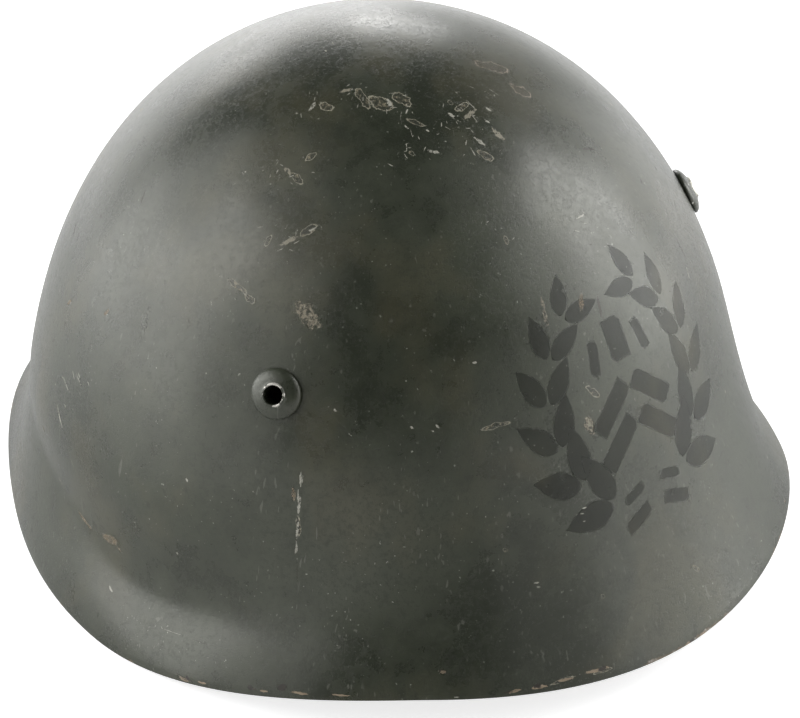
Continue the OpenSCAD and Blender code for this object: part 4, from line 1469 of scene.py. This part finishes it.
def wreath_tree():
    """Leaves in pairs along the two branches of a wreath, flat, with the stencil's bridges."""
    tree, given = group(
        "wreath leaves",
        {
            "Stations": 6, "Half Width": 31.0, "Half Height": 35.0, "First Angle": -62.0,
            "Last Angle": 56.0, "Leaf Length": 20.0, "Leaf Width": 10.4, "Spread": 33.0,
            "Bridge": 1.6, "Tip Size": 0.72, "Material": "material"
        }
    )
    number = geo(tree, "InputIndex")
    stations = given.stations
    sideways = (number / 2.0).maths("FRACT") * 2.0
    pair = (number / 2.0).maths("FLOOR")
    branch = (pair / stations + 0.001).maths("FLOOR")
    station = pair - branch * stations
    share = station / (stations - 1.0)
    w = share.lerp(given.first_angle, given.last_angle)
    mirror = 1.0 - 2.0 * branch
    lean = (sideways * 2.0 - 1.0) * given.spread
    tangent_x = -1.0 * given.half_width * w.sine()
    tangent_y = given.half_height * w.cosine()
    heading = tangent_y.maths("ARCTAN2", tangent_x).maths("DEGREES") - lean
    place = vector(
        tree, (given.half_width * w.cosine() + given.bridge * heading.cosine()) * mirror,
        given.half_height * w.sine() + given.bridge * heading.sine(), 0.0
    )
    turned = branch.lerp(heading, 180.0 - heading).maths("RADIANS")
    spots = spots_at(tree, stations * 4.0, place)
    grid = geo(tree, "MeshGrid", out="Mesh", Size_X=1.0, Size_Y=2.0, Vertices_X=15, Vertices_Y=7)
    x, y, _ = split(geo(tree, "InputPosition"))
    y = (y * 1.47).clamp(-1.0, 1.0)
    along = x + 0.5
    half = (along ** 0.75 * 180.0).sine().at_least(0.02) * given.leaf_width * 0.5
    leaf = kept(tree, grid, "fall", ((1.0 - y.size()) * half / SOFT_EDGE).clamp())
    leaf = moved_to(tree, leaf, vector(tree, along * given.leaf_length, y * half, 0.0))
    smaller = share.lerp(1.0, given.tip_size)
    leaves = geo(
        tree, "InstanceOnPoints", Points=spots, Instance=leaf,
        Rotation=add(tree, "FunctionNodeEulerToRotation", Euler=vector(tree, 0.0, 0.0, turned)),
        Scale=vector(tree, smaller, smaller, 1.0)
    )
    return finished(tree, given, leaves)


STROKE_COLUMNS = (-1, -0.98, -0.5, 0, 0.5, 0.98, 1)
SKIRT = 0.08
# Millimetres over which a shape's fall value climbs from its edge
SOFT_EDGE = 1.4


def stroke(line, width, spacing=2.4):
    """A flat bar along a line of points, as (points, faces, falls), with a fine skirt all round."""
    fine = [line[0]]
    for a, b in zip(line, line[1:]):
        count = max(1, round(dist(a, b) / spacing))
        fine += [
            (a[0] + (b[0] - a[0]) * k / count, a[1] + (b[1] - a[1]) * k / count)
            for k in range(1, count + 1)
        ]
    for place, a, b in ((1, fine[0], fine[1]), (len(fine), fine[-1], fine[-2])):
        share = SKIRT / dist(a, b)
        fine.insert(place, (a[0] + (b[0] - a[0]) * share, a[1] + (b[1] - a[1]) * share))
    points, falls = [], []
    length = sum(dist(a, b) for a, b in zip(fine, fine[1:]))
    run = 0.0
    for i, p in enumerate(fine):
        run += dist(p, fine[i - 1]) if i else 0.0
        before = Vector(p) - Vector(fine[i - 1]) if i else Vector(fine[1]) - Vector(p)
        after = Vector(fine[i + 1]) - Vector(p) if i + 1 < len(fine) else before
        d = (before.normalized() + after.normalized()).normalized()
        stretch = 1 / max(0.5, d.dot(before.normalized()))
        for t in STROKE_COLUMNS:
            reach = t * width / 2 * stretch
            points.append((p[0] - d.y * reach, p[1] + d.x * reach, 0.0))
            rim = min((1 - abs(t)) * width / 2, run, length - run)
            falls.append(min(1.0, rim / SOFT_EDGE))
    faces = ring_faces(len(fine), len(STROKE_COLUMNS), False, False)
    return points, faces, falls


def flat_mesh(name, shapes):
    """One mesh from several flat shapes, each as (points, faces, falls)."""
    points, faces, falls = [], [], []
    for shape_points, shape_faces, shape_falls in shapes:
        faces += [tuple(len(points) + i for i in face) for face in shape_faces]
        points += shape_points
        falls += shape_falls
    return mesh_of(name, points, faces, {"fall": falls})


# From (x, y) to (x, y) and the width of each bar of the badge, which has its mirror image beside it
BADGE_BARS = (
    (16, -9, 1.2, 3.5, 7.6), (16, -20.5, 1.2, -8, 7.6), (0, 9, 0, 24, 9.0), (11.5, 8, 9, 20, 4.6),
    (14.5, -41, 2.5, -36.5, 5.2), (13, -32.5, 3, -29.5, 4.0)
)


def badge_mesh():
    """A wreath round two chevrons and a bar, over a short tied ribbon."""
    leaves = grown("badge_leaves", wreath_tree()).data
    bpy.data.objects.remove(bpy.data.objects["badge_leaves"])
    bars = []
    for x0, y0, x1, y1, width in BADGE_BARS:
        for side in (-1, 1) if x0 else (1,):
            bars.append(stroke([(side * x0, y0), (side * x1, y1)], width))
    return joined("stencil_badge", [leaves, flat_mesh("badge_bars", bars)])


tree_of_shell = BVHTree.FromObject(shell, bpy.context.evaluated_depsgraph_get())


def on_shell(angle, height):
    """Point and normal of the outer face in a direction round the helmet, in metres."""
    w = radians(angle)
    away = Vector((sin(w), -cos(w), 0))
    axis = Vector((0, LENGTH_SHIFT * MM, height * MM))
    point, normal, _, _ = tree_of_shell.ray_cast(axis + away * 0.4, -away)
    return point, normal


def laid(name, mesh, material, lift, slot):
    piece = grown(name, lay, mesh, Shell=shell, Lift=lift, Material=material)
    return dress(piece, material, "helmet", slot)


def stencil_paint():
    """Thin dark paint, sprayed through a stencil, rubbed and mottled like the paint below."""
    finish = Finish("stencil paint")
    tree = finish.tree
    coat = use(
        tree, cloudy, Place=finish.place, Deep_Shade=STENCIL_DEEP, Pale_Shade=STENCIL_PALE,
        Stain_Shade=PAINT_STAIN, Stains=0.5, Specks=0.5
    )
    fall = attribute(tree, "fall")
    ragged = noise(finish.place, 900.0, 3.0, 0.6)
    rubbed = step(noise(finish.place, 75.0, 4.0, 0.62), 0.63, 0.72)
    finish.set(
        Base_Color=coat["Colour"], Roughness=STENCIL_ROUGHNESS + 0.12 * coat["Dullness"],
        Specular_IOR_Level=0.3
    )
    finish.film(step(fall + (ragged - 0.5) * 0.35, 0.12, 0.5) * (1.0 - 0.5 * rubbed) * 0.9)
    finish.bump(coat["Height"], 0.35, 0.00012)
    return finish.material


lay = lay_tree(skin_tree)
BADGE_ANGLE = 3.0
BADGE_HEIGHT = 86.0
badge = badge_mesh()
centre, out = on_shell(BADGE_ANGLE, BADGE_HEIGHT)
across = Vector((0, 0, 1)).cross(out).normalized()
badge.transform(
    Matrix.Translation(centre + out * 0.0006) @ Matrix(
        (across, out.cross(across), out)
    ).transposed().to_4x4()
)
laid("stencil_badge", badge, stencil_paint(), 0.016, "shell_paint")


# Shares of a mark's size at which its rings of points lie, closest together at the edge
PATCH_RINGS = (0.2, 0.4, 0.6, 0.8, 0.985, 1.0)
# Height of the place inside the shell that all marks face away from
HEART_HEIGHT = 40


def patch(start, end, width, seed):
    """A mark between two places on the shell, as (points, faces, falls) in millimetres."""
    a, b = Vector(start), Vector(end)
    middle = (a + b) / 2
    out = (middle - Vector((0, LENGTH_SHIFT, HEART_HEIGHT))).normalized()
    along = b - a
    length = max(along.length, 0.6)
    along = along.normalized() if along.length > 0.01 else out.orthogonal()
    side = out.cross(along).normalized()
    draw = random.Random(seed)
    segments = max(16, min(96, 4 * round(length / max(0.5, width / 3))))
    waves = [(n, draw.uniform(0, 6.3), draw.uniform(0.05, 0.27) / sqrt(n)) for n in range(2, 9)]
    bend = draw.uniform(-0.16, 0.16)
    points, falls, faces = [middle + out], [1.0], []
    for share in PATCH_RINGS:
        for i in range(segments):
            w = 2 * pi * i / segments
            reach = 1 + sum(size * sin(n * w + start_) for n, start_, size in waves)
            x = cos(w) * share * (length / 2 + width * 0.12)
            y = sin(w) * share * reach * width / 2
            y += bend * (x * x / length - length / 12)
            points.append(middle + out + along * x + side * y)
            falls.append(1.0 - share)
    for i in range(segments):
        k = (i + 1) % segments
        faces.append((0, 1 + i, 1 + k))
        for j in range(len(PATCH_RINGS) - 1):
            near, far = 1 + j * segments, 1 + (j + 1) * segments
            faces.append((near + i, far + i, far + k, near + k))
    return points, faces, falls


def places(*numbers):
    """Marks from rows of numbers: where each starts and ends, as x, y and z, and its width."""
    rows = [numbers[k:k + 7] for k in range(0, len(numbers), 7)]
    return [(row[:3], row[3:6], row[6]) for row in rows]


BROWN_PLACES = places(
    15, -31, 160.5, 24.5, -37.5, 156.5, 6,  19.5, -42.5, 156, 23, -48.5, 152.5, 4.6
)
STREAK_PLACES = places(
    4.5, -47, 156, 5.5, -50, 155, 1.4,  1, -50.5, 154.5, 2, -53, 153.5, 0.8,
    -6.5, -53.5, 153, -4.5, -58.5, 150.5, 1.5,  -7.5, -43.5, 157.5, -6.5, -46.5, 156, 1.6,
    -16, -36, 159, -18.5, -37.5, 158, 0.7,  -18.5, -29, 160.5, -19.5, -33, 159, 1.8,
    -21, -39.5, 156.5, -21, -42, 156, 0.9,  -21.5, -49.5, 152.5, -18, -53.5, 151.5, 1.5,
    -86.5, -66.5, 77.5, -88, -68, 71, 0.9,  -88, -68, 71, -90.5, -69, 62.5, 1.4,
    -90, -69, 63, -92.5, -70, 55, 1.1,  -92.5, -70, 55, -94, -70.5, 50.5, 0.5,
    -101, 28.5, 71.5, -104, 21, 68.5, 0.6,  -101.5, 20.5, 76.5, -104, 15, 74, 0.5,
    -55.5, -91, 91.5, -55, -92, 90, 1,  -61.5, -86.5, 91.5, -61, -87.5, 90.5, 0.9,
    -41.5, -91, 106.5, -39.5, -92, 106.5, 0.9,  -37.5, -15.5, 157, -33, -14, 158.5, 2,
    -15.5, 2, 163, -16, 0.5, 163, 0.8,  11, -44.5, 156.5, 10.5, -45.5, 156.5, 0.9,
    -17, -44.5, 155.5, -16.5, -46, 155, 0.9,  -61, -41, 136.5, -58, -43, 138, 0.9,
    -60, -12.5, 144.5, -60, -13, 144, 0.7,  -103, 29.5, 62.5, -107, 21.5, 55, 0.9,
    -101.5, 22.5, 76, -103, 19.5, 73.5, 0.5,  -102, 19, 77, -103, 16.5, 75.5, 0.5,
    -103, 13, 77.5, -104, 11, 76, 0.35,  -101, 32, 66, -102, 30.5, 65.5, 0.5,
    -101.5, 28, 70.5, -101.5, 27, 70.5, 0.6,  -104.5, 23.5, 64, -105, 22, 63.5, 0.7,
    -109, 17.5, 49, -110, 14.5, 46.5, 0.35,  -108, 29, 35.5, -110, 25, 33, 0.6,
    -117, -7, 19, -117.5, -10, 17.5, 1.2,  -104, -34.5, 66.5, -104, -35.5, 65, 0.9,
    -110.5, -33.5, 40, -111, -34, 39, 0.9,  -86.5, -67.5, 76.5, -87.5, -68, 73, 0.6,
    -88, -67, 72.5, -89.5, -68.5, 65.5, 0.6,  -92, -69.5, 57, -93.5, -71, 50.5, 0.7,
    -104, -44, 56.5, -104, -44.5, 56, 0.5,  -109.5, -12, 59, -109.5, -12.5, 58.5, 0.5,
    -96, -55.5, 68.5, -95.5, -56, 68, 0.5,  -89.5, -76.5, 51, -89.5, -77, 51, 0.5,
    -93.5, -32.5, 98, -93.5, -33, 97.5, 0.6,  59, -45, 136.5, 61, -46, 134, 1.3,
    8, -82.5, 131, 13.5, -82, 131, 0.9,  53, -105, 63, 52.5, -106, 60.5, 0.8,
    49.5, -89.5, 101.5, 48.5, -92.5, 97, 0.5,  -76, -69.5, 95.5, -75.5, -70.5, 94.5, 1,
    -57, -90.5, 90, -56.5, -91.5, 89.5, 0.7,  -49.5, -106, 64, -49.5, -106.5, 63.5, 0.5,
    -21.5, -117.5, 59, -19, -118, 59, 0.6,  -22.5, -118, 58, -20.5, -118.5, 57.5, 0.6,
    -22, -119, 55.5, -21, -119.5, 55.5, 0.5,  -41.5, -118.5, 42.5, -39.5, -119.5, 42.5, 0.8,
    -41.5, -119.5, 41.5, -39.5, -120, 41, 0.7,  -72, -116.5, 15, -70, -118, 15, 0.7,
    -117, -30, 16.5, -114.5, -42.5, 18, 0.3
)
CHIP_PLACES = places(
    1, -53.5, 153, 2, -59, 150, 2.6,  -5.5, -48, 155.5, 2, -47, 156.5, 2.4,
    -27, -17, 160, -22.5, -19, 161, 2,  -53.5, -22.5, 147.5, -53.5, -26, 146.5, 2,
    -68, -36, 132, -62.5, -40, 135.5, 2.2,  -12.5, -110.5, 84, -12, -112, 79, 2.6
)
RING_PLACES = places(
    -8.5, -57.5, 150.5, -5.5, -62.5, 148, 3,  -5, -44.5, 157, 1.5, -44, 157.5, 3.2,
    -4, -40.5, 158.5, -4, -42.5, 158, 1.8,  -15.5, -28.5, 161, -15, -36.5, 159, 4.6,
    -22, -19, 161.5, -25, -29, 159, 3.4,  -22, -25, 160.5, -20, -34, 158.5, 5.4,
    -19.5, -38, 157.5, -16, -44.5, 156, 1.8,  -25.5, -47, 152.5, -25.5, -49, 152, 1.8,
    -33, -15.5, 158.5, -32.5, -21, 158, 3.6,  -48.5, -26.5, 149.5, -45, -28, 151, 2.6,
    -53.5, -25.5, 147, -53.5, -31.5, 145.5, 2.6,  -67, -32.5, 134.5, -70, -33, 131.5, 2,
    -63, -40, 135.5, -57.5, -42.5, 138.5, 2.8,  -80, -27, 122.5, -79, -36, 120, 2.2,
    -79.5, -34.5, 120, -79, -38.5, 118.5, 2.6,  -90, -68.5, 64, -91.5, -70.5, 57, 1.6,
    -16.5, -78.5, 134, -17, -80.5, 132, 1.8,  -10.5, -107.5, 92.5, -6.5, -109.5, 88, 2.4,
    -46, -98.5, 88.5, -35.5, -102.5, 89, 2,  12.5, -131.5, 29, 15.5, -132.5, 26.5, 2,
    -22.5, -128, 34, -21.5, -128.5, 32.5, 1.4,  -47.5, -111.5, 54, -46, -112.5, 53, 1.2,
    -46.5, -131, 14.5, -37.5, -133.5, 15, 1.5,  -33, -135.5, 14, -25.5, -137.5, 14, 1.4
)
DARK_PLACES = places(
    -72, 19.5, 129.5, -76.5, 17.5, 125.5, 1,  -65.5, -6, 140, -68, -6, 138, 0.35,
    -77, 36.5, 115, -78.5, 34.5, 114.5, 0.6,  -74.5, 52.5, 104, -78.5, 49, 101.5, 0.7,
    -79, 45.5, 105, -80.5, 45, 102.5, 0.6,  -91, -8, 109.5, -90, -11, 111, 0.5,
    -87, -7, 115.5, -88, -7.5, 114, 0.6,  -89.5, -20, 110, -90.5, -22.5, 107.5, 0.5,
    -95, 39.5, 77, -96, 38.5, 75.5, 0.6,  -104.5, 0.5, 78, -105.5, -1, 75, 0.9,
    -93.5, -71, 50, -95.5, -72.5, 42.5, 0.35,  19.5, -63, 145.5, 18, -65, 144.5, 0.5,
    25, -59.5, 146.5, 25, -61, 145.5, 1.2,  26, -66.5, 141.5, 32.5, -66.5, 138.5, 1.3,
    25, -76, 133.5, 25, -77.5, 132.5, 0.4,  45.5, -73, 126, 45, -74.5, 125, 0.9,
    8.5, -88, 125, 10, -88.5, 124.5, 0.5,  4, -96.5, 114, 2.5, -101, 106.5, 1.2,
    49.5, -84, 110, 51, -88, 102, 0.8,  -73, -111, 22.5, -70.5, -113.5, 21.5, 1.6,
    -59.5, -124.5, 14.5, -54.5, -127, 15, 0.9,  -118, -43.5, 5.5, -116.5, -50.5, 6, 1.3,
    -109.5, -68, 10.5, -108.5, -70.5, 10.5, 1.2,  -105, -76, 13, -104, -78.5, 13.5, 1.3,
    -114.5, -42.5, 18, -111.5, -53.5, 18.5, 0.3
)
RUB_PLACES = places(
    -73, -48, 121.5, -70.5, -59, 115.5, 7.6,  -14.5, -91, 120, -16.5, -98.5, 108.5, 1.9,
    -13.5, -109.5, 86, -11, -113, 76.5, 4.2
)
RUST_PLACES = places(
    -92, 36.5, 88.5, -92, 33, 92, 1.8,  -95.5, 13.5, 97, -94.5, 11, 100, 1.9,
    -102, 41, 46.5, -103.5, 37.5, 44.5, 1,  -112, 17.5, 31.5, -114.5, 4, 28.5, 1.3,
    -114.5, 2.5, 29.5, -114.5, -10, 32, 4.4,  -115, -7.5, 30, -115.5, -10, 29, 1,
    -89, -65.5, 73, -90, -67.5, 66.5, 1.7,  -1, -95, 116.5, -4, -98.5, 110.5, 3.2,
    71, -115.5, 17.5, 71.5, -116.5, 16, 1.2,  -0.5, -141.5, 11, 11.5, -141.5, 10, 1.4
)
GRAZE_PLACES = places(
    -91, -4.5, 109.5, -96.5, -6.5, 99, 4.4,  59, -64.5, 122.5, 60.5, -69, 117.5, 1.6
)
EDGE_PLACES = places(
    -118, -44.5, 5.5, -117, -49, 5.5, 1.7,  -116, -51, 6.5, -115, -55, 7, 1,
    -108.5, -71, 10.5, -107, -74, 11, 1,  -103.5, -79.5, 12.5, -100.5, -85.5, 13, 1.2,
    -97, -90, 14, -93, -95.5, 14.5, 0.9,  -72.5, -112, 22, -71, -113, 22, 1.6,
    -58, -125.5, 14.5, -54, -127.5, 15, 1.5,  -51.5, -128.5, 14.5, -46.5, -131, 14.5, 1.7,
    -44, -131.5, 15, -38.5, -133.5, 14.5, 1.4,  -35.5, -134.5, 15, -26, -137, 14.5, 1.8,
    0, -141.5, 10.5, 4.5, -141.5, 11, 2,  7, -141, 11, 11, -141, 10.5, 1.5
)
NICK_PLACES = places(
    -109.5, -67.5, 10.5, -109, -69, 10.5, 2.4,  -105.5, -76, 13, -104, -78.5, 13.5, 3.6,
    -117, -47, 6.5, -117, -48.5, 6, 1.5,  -50.5, -129, 15, -48.5, -130, 15, 2.2,
    -30.5, -136, 14.5, -28, -136.5, 15, 2.4,  2.5, -141.5, 11, 6, -141.5, 10.5, 2.2
)


def scratches_near(marked, count, reach, seed):
    """Short fine scratches scattered round marks that are already there."""
    draw = random.Random(seed)
    found = []
    for start, _, _ in marked:
        for _ in range(count):
            middle = [v + draw.gauss(0, reach) for v in start]
            run = [draw.uniform(-2.4, 2.4) for _ in range(3)]
            ends = [tuple(m + side * r for m, r in zip(middle, run)) for side in (-0.5, 0.5)]
            found.append((*ends, draw.uniform(0.22, 0.42)))
    return found


# Height above which fine scratches lie round the other marks
CROWN = 120


def knocks_behind(count, length, width, seed):
    """Places of marks from use on the sides and the rear that the photograph doesn't show."""
    draw = random.Random(seed)
    found = []
    for _ in range(count):
        start = on_shell(draw.uniform(62, 218), draw.uniform(24, 138))[0] / MM
        run = Vector([draw.uniform(-1, 1) for _ in range(3)]) * length * draw.uniform(0.4, 1)
        found.append((tuple(start), tuple(start + run), width * draw.uniform(0.5, 1)))
    return found


RING_PLACES += knocks_behind(12, 5, 3.2, 11)
CHIP_PLACES += knocks_behind(8, 3, 2.4, 12)
STREAK_PLACES += knocks_behind(22, 6, 0.9, 13)
DARK_PLACES += knocks_behind(18, 4, 0.9, 14)
RUST_PLACES += knocks_behind(7, 3, 1.6, 15)
worn_places = RING_PLACES + CHIP_PLACES + STREAK_PLACES
FINE_PLACES = scratches_near([place for place in worn_places if place[0][2] > CROWN], 3, 3.4, 7)
# For each kind: places, material's name, colours, roughness, raggedness, edge, grain and lift
MARKS = {
    "rings": (RING_PLACES, "old chips", ring_colour, 0.42, 0.8, (0.16, 0.2), 700.0, 0.026),
    "chips": (CHIP_PLACES, "scraped chips", chip_colour, 0.5, 1.2, (0.3, 0.36), 900.0, 0.03),
    "browned": (BROWN_PLACES, "browned chips", brown_colour, 0.45, 0.7, (0.14, 0.2), 700.0, 0.026),
    "streaks": (
        STREAK_PLACES + FINE_PLACES, "scraped streaks", streak_colour, 0.45, 1.2, (0.3, 0.4),
        1100.0, 0.034
    ),
    "grazes_dark": (DARK_PLACES, "dark grazes", dark_colour, 0.5, 1.2, (0.26, 0.36), 1000.0, 0.03),
    "grazes_fine": (
        GRAZE_PLACES, "fine grazes", graze_colour, 0.5, 1.0, (0.2, 0.5), 1400.0, 0.026
    ),
    "rust_spots": (RUST_PLACES, "rust spots", rust_colour, 0.7, 1.1, (0.3, 0.5), 620.0, 0.03),
    "edge_chips": (
        EDGE_PLACES, "chips at the rim", edge_colour, 0.5, 1.0, (0.18, 0.3), 900.0, 0.03
    ),
    "edge_nicks": (
        NICK_PLACES, "nicks at the rim", nick_colour, 0.5, 1.0, (0.16, 0.24), 900.0, 0.036
    ),
    "rubs": (RUB_PLACES, "rubbed paint", rub_colour, 0.5, 1.2, (0.3, 0.44), 520.0, 0.026),
}
for kind, (chosen, *looks, lift) in MARKS.items():
    name = "marks_" + kind
    shapes = [patch(*place, n * 7 + len(name)) for n, place in enumerate(chosen)]
    laid(name, flat_mesh(name, shapes), mark(*looks), lift, "shell_paint")


# Floor, light and camera
FLOOR_GLOW = 0.75
# What a gloss sees of the floor: dim beside the helmet, a painted shade for the helmet's shadow on
# it, and pale far off
SHADED_FLOOR_IN_GLOSS = 0.1
FLOOR_FADE = (0.28, 0.68)
ROOM_LEVEL = 0.1
DARK_ROOM = 0.02
BACKDROP_EDGE = (0.55, 0.92)
AWAY = (0.67, 0.742)
# Height in degrees and side in metres of a ring of lamps, then azimuth and power of each
LAMPS = (
    (
        8, 1.0,
        (
            (-180, 4), (-150, 12.5), (-120, 12), (-90, 3.8), (0, 1.8), (30, 6.6), (60, 15.6),
            (90, 4.8), (150, 6)
        )
    ), (35, 0.9, ((-150, 6), (-120, 11.5), (-90, 4.2), (30, 4), (60, 17), (90, 2))),
    (60, 0.9, ((-135, 1.4), (-90, 0.8), (45, 1.2))),
    (20, 0.5, ((-135, 1.6), (45, 2), (75, 2.3), (135, 3.5), (165, 1.5)))
)
SEEN_RAYS = ("Is Camera Ray", "Is Glossy Ray", "Is Transmission Ray")


def seen(tree):
    """1 for rays that show the background, and 1 for those in a gloss alone."""
    node = tree.nodes.new("ShaderNodeLightPath")
    rays = [Term(tree, node.outputs[name]) for name in SEEN_RAYS]
    return rays[0].at_least(rays[1]).at_least(rays[2]), rays[1]


corners = [(-4000, -4000, 0), (4000, -4000, 0), (4000, 4000, 0), (-4000, 4000, 0)]
floor = show("floor", mesh_of("floor", corners, [(0, 1, 2, 3)]))
pale_floor = Finish("pale floor")
floor_shown, in_gloss = seen(pale_floor.tree)
far_off = vectors("LENGTH", pale_floor.place)
# Painted shade: glosses see the floor dim close to the helmet, in place of its shadow, and pale
# further off
glossed = SHADED_FLOOR_IN_GLOSS + 0.7 * step(far_off, *FLOOR_FADE)
glow = floor_shown * (1.0 - in_gloss) * FLOOR_GLOW + in_gloss * glossed
pale_floor.set(Base_Color=(0.7, 0.7, 0.7, 1), Emission_Color=(1, 1, 1, 1), Emission_Strength=glow)
floor.data.materials.append(pale_floor.material)

world = bpy.data.worlds.new("studio")
bpy.context.scene.world = world
world.use_nodes = True
background = world.node_tree.nodes["Background"]
shown, glossy = seen(world.node_tree)
direction = add(world.node_tree, "ShaderNodeTexCoord", out="Generated")
depth = vectors("DOT_PRODUCT", direction, (*AWAY, -0.2))
dark_room = glossy * (1.0 - step(depth, *BACKDROP_EDGE))
strength = shown * (1.0 - dark_room) + ROOM_LEVEL * (1.0 - shown) + DARK_ROOM * dark_room
plug(world.node_tree, strength, background.inputs["Strength"])
background.inputs["Color"].default_value = (1, 1, 1, 1)


def softbox(azimuth, elevation, side, power, distance=2.0):
    """A square lamp turned to the helmet. Azimuth 0 is in front, 90 on the wearer's left."""
    data = bpy.data.lights.new("softbox", "AREA")
    data.size = side
    data.energy = power
    lamp = show("softbox", data)
    turn, rise = radians(azimuth), radians(elevation)
    toward = Vector((sin(turn) * cos(rise), -cos(turn) * cos(rise), sin(rise)))
    lamp.location = Vector((0, 0, 0.08)) + toward * distance
    lamp.rotation_euler = toward.to_track_quat("Z", "Y").to_euler()


for elevation, side, ring in LAMPS:
    for azimuth, power in ring:
        softbox(azimuth, elevation, side, power)

AZIMUTH, ELEVATION, ROLL = (radians(v) for v in (-42.08, 33.33, -0.22))
DISTANCE = 1227.9
FOCAL_PIXELS = 3892.4
PICTURE_WIDTH = 800
SENSOR_WIDTH = 36
# What the camera looks at: its height, and how far it lies to the right and up, in millimetres
AIM_HEIGHT, AIM_RIGHT, AIM_UP = 70, 5.3, -17.91
back = Vector((sin(AZIMUTH) * cos(ELEVATION), -cos(AZIMUTH) * cos(ELEVATION), sin(ELEVATION)))
level_right = Vector((cos(AZIMUTH), sin(AZIMUTH), 0))
level_up = back.cross(level_right)
right = level_right * cos(ROLL) + level_up * sin(ROLL)
up = level_up * cos(ROLL) - level_right * sin(ROLL)
target = Vector((0, LENGTH_SHIFT, AIM_HEIGHT)) + right * AIM_RIGHT + up * AIM_UP
camera_data = bpy.data.cameras.new("camera")
camera_data.sensor_width = SENSOR_WIDTH
camera_data.lens = FOCAL_PIXELS * SENSOR_WIDTH / PICTURE_WIDTH
camera = show("camera", camera_data)
turned = Matrix((right, up, back)).transposed()
camera.matrix_world = Matrix.Translation((target + back * DISTANCE) * MM) @ turned.to_4x4()
bpy.context.scene.camera = camera
bpy.context.scene.view_settings.view_transform = "Standard"
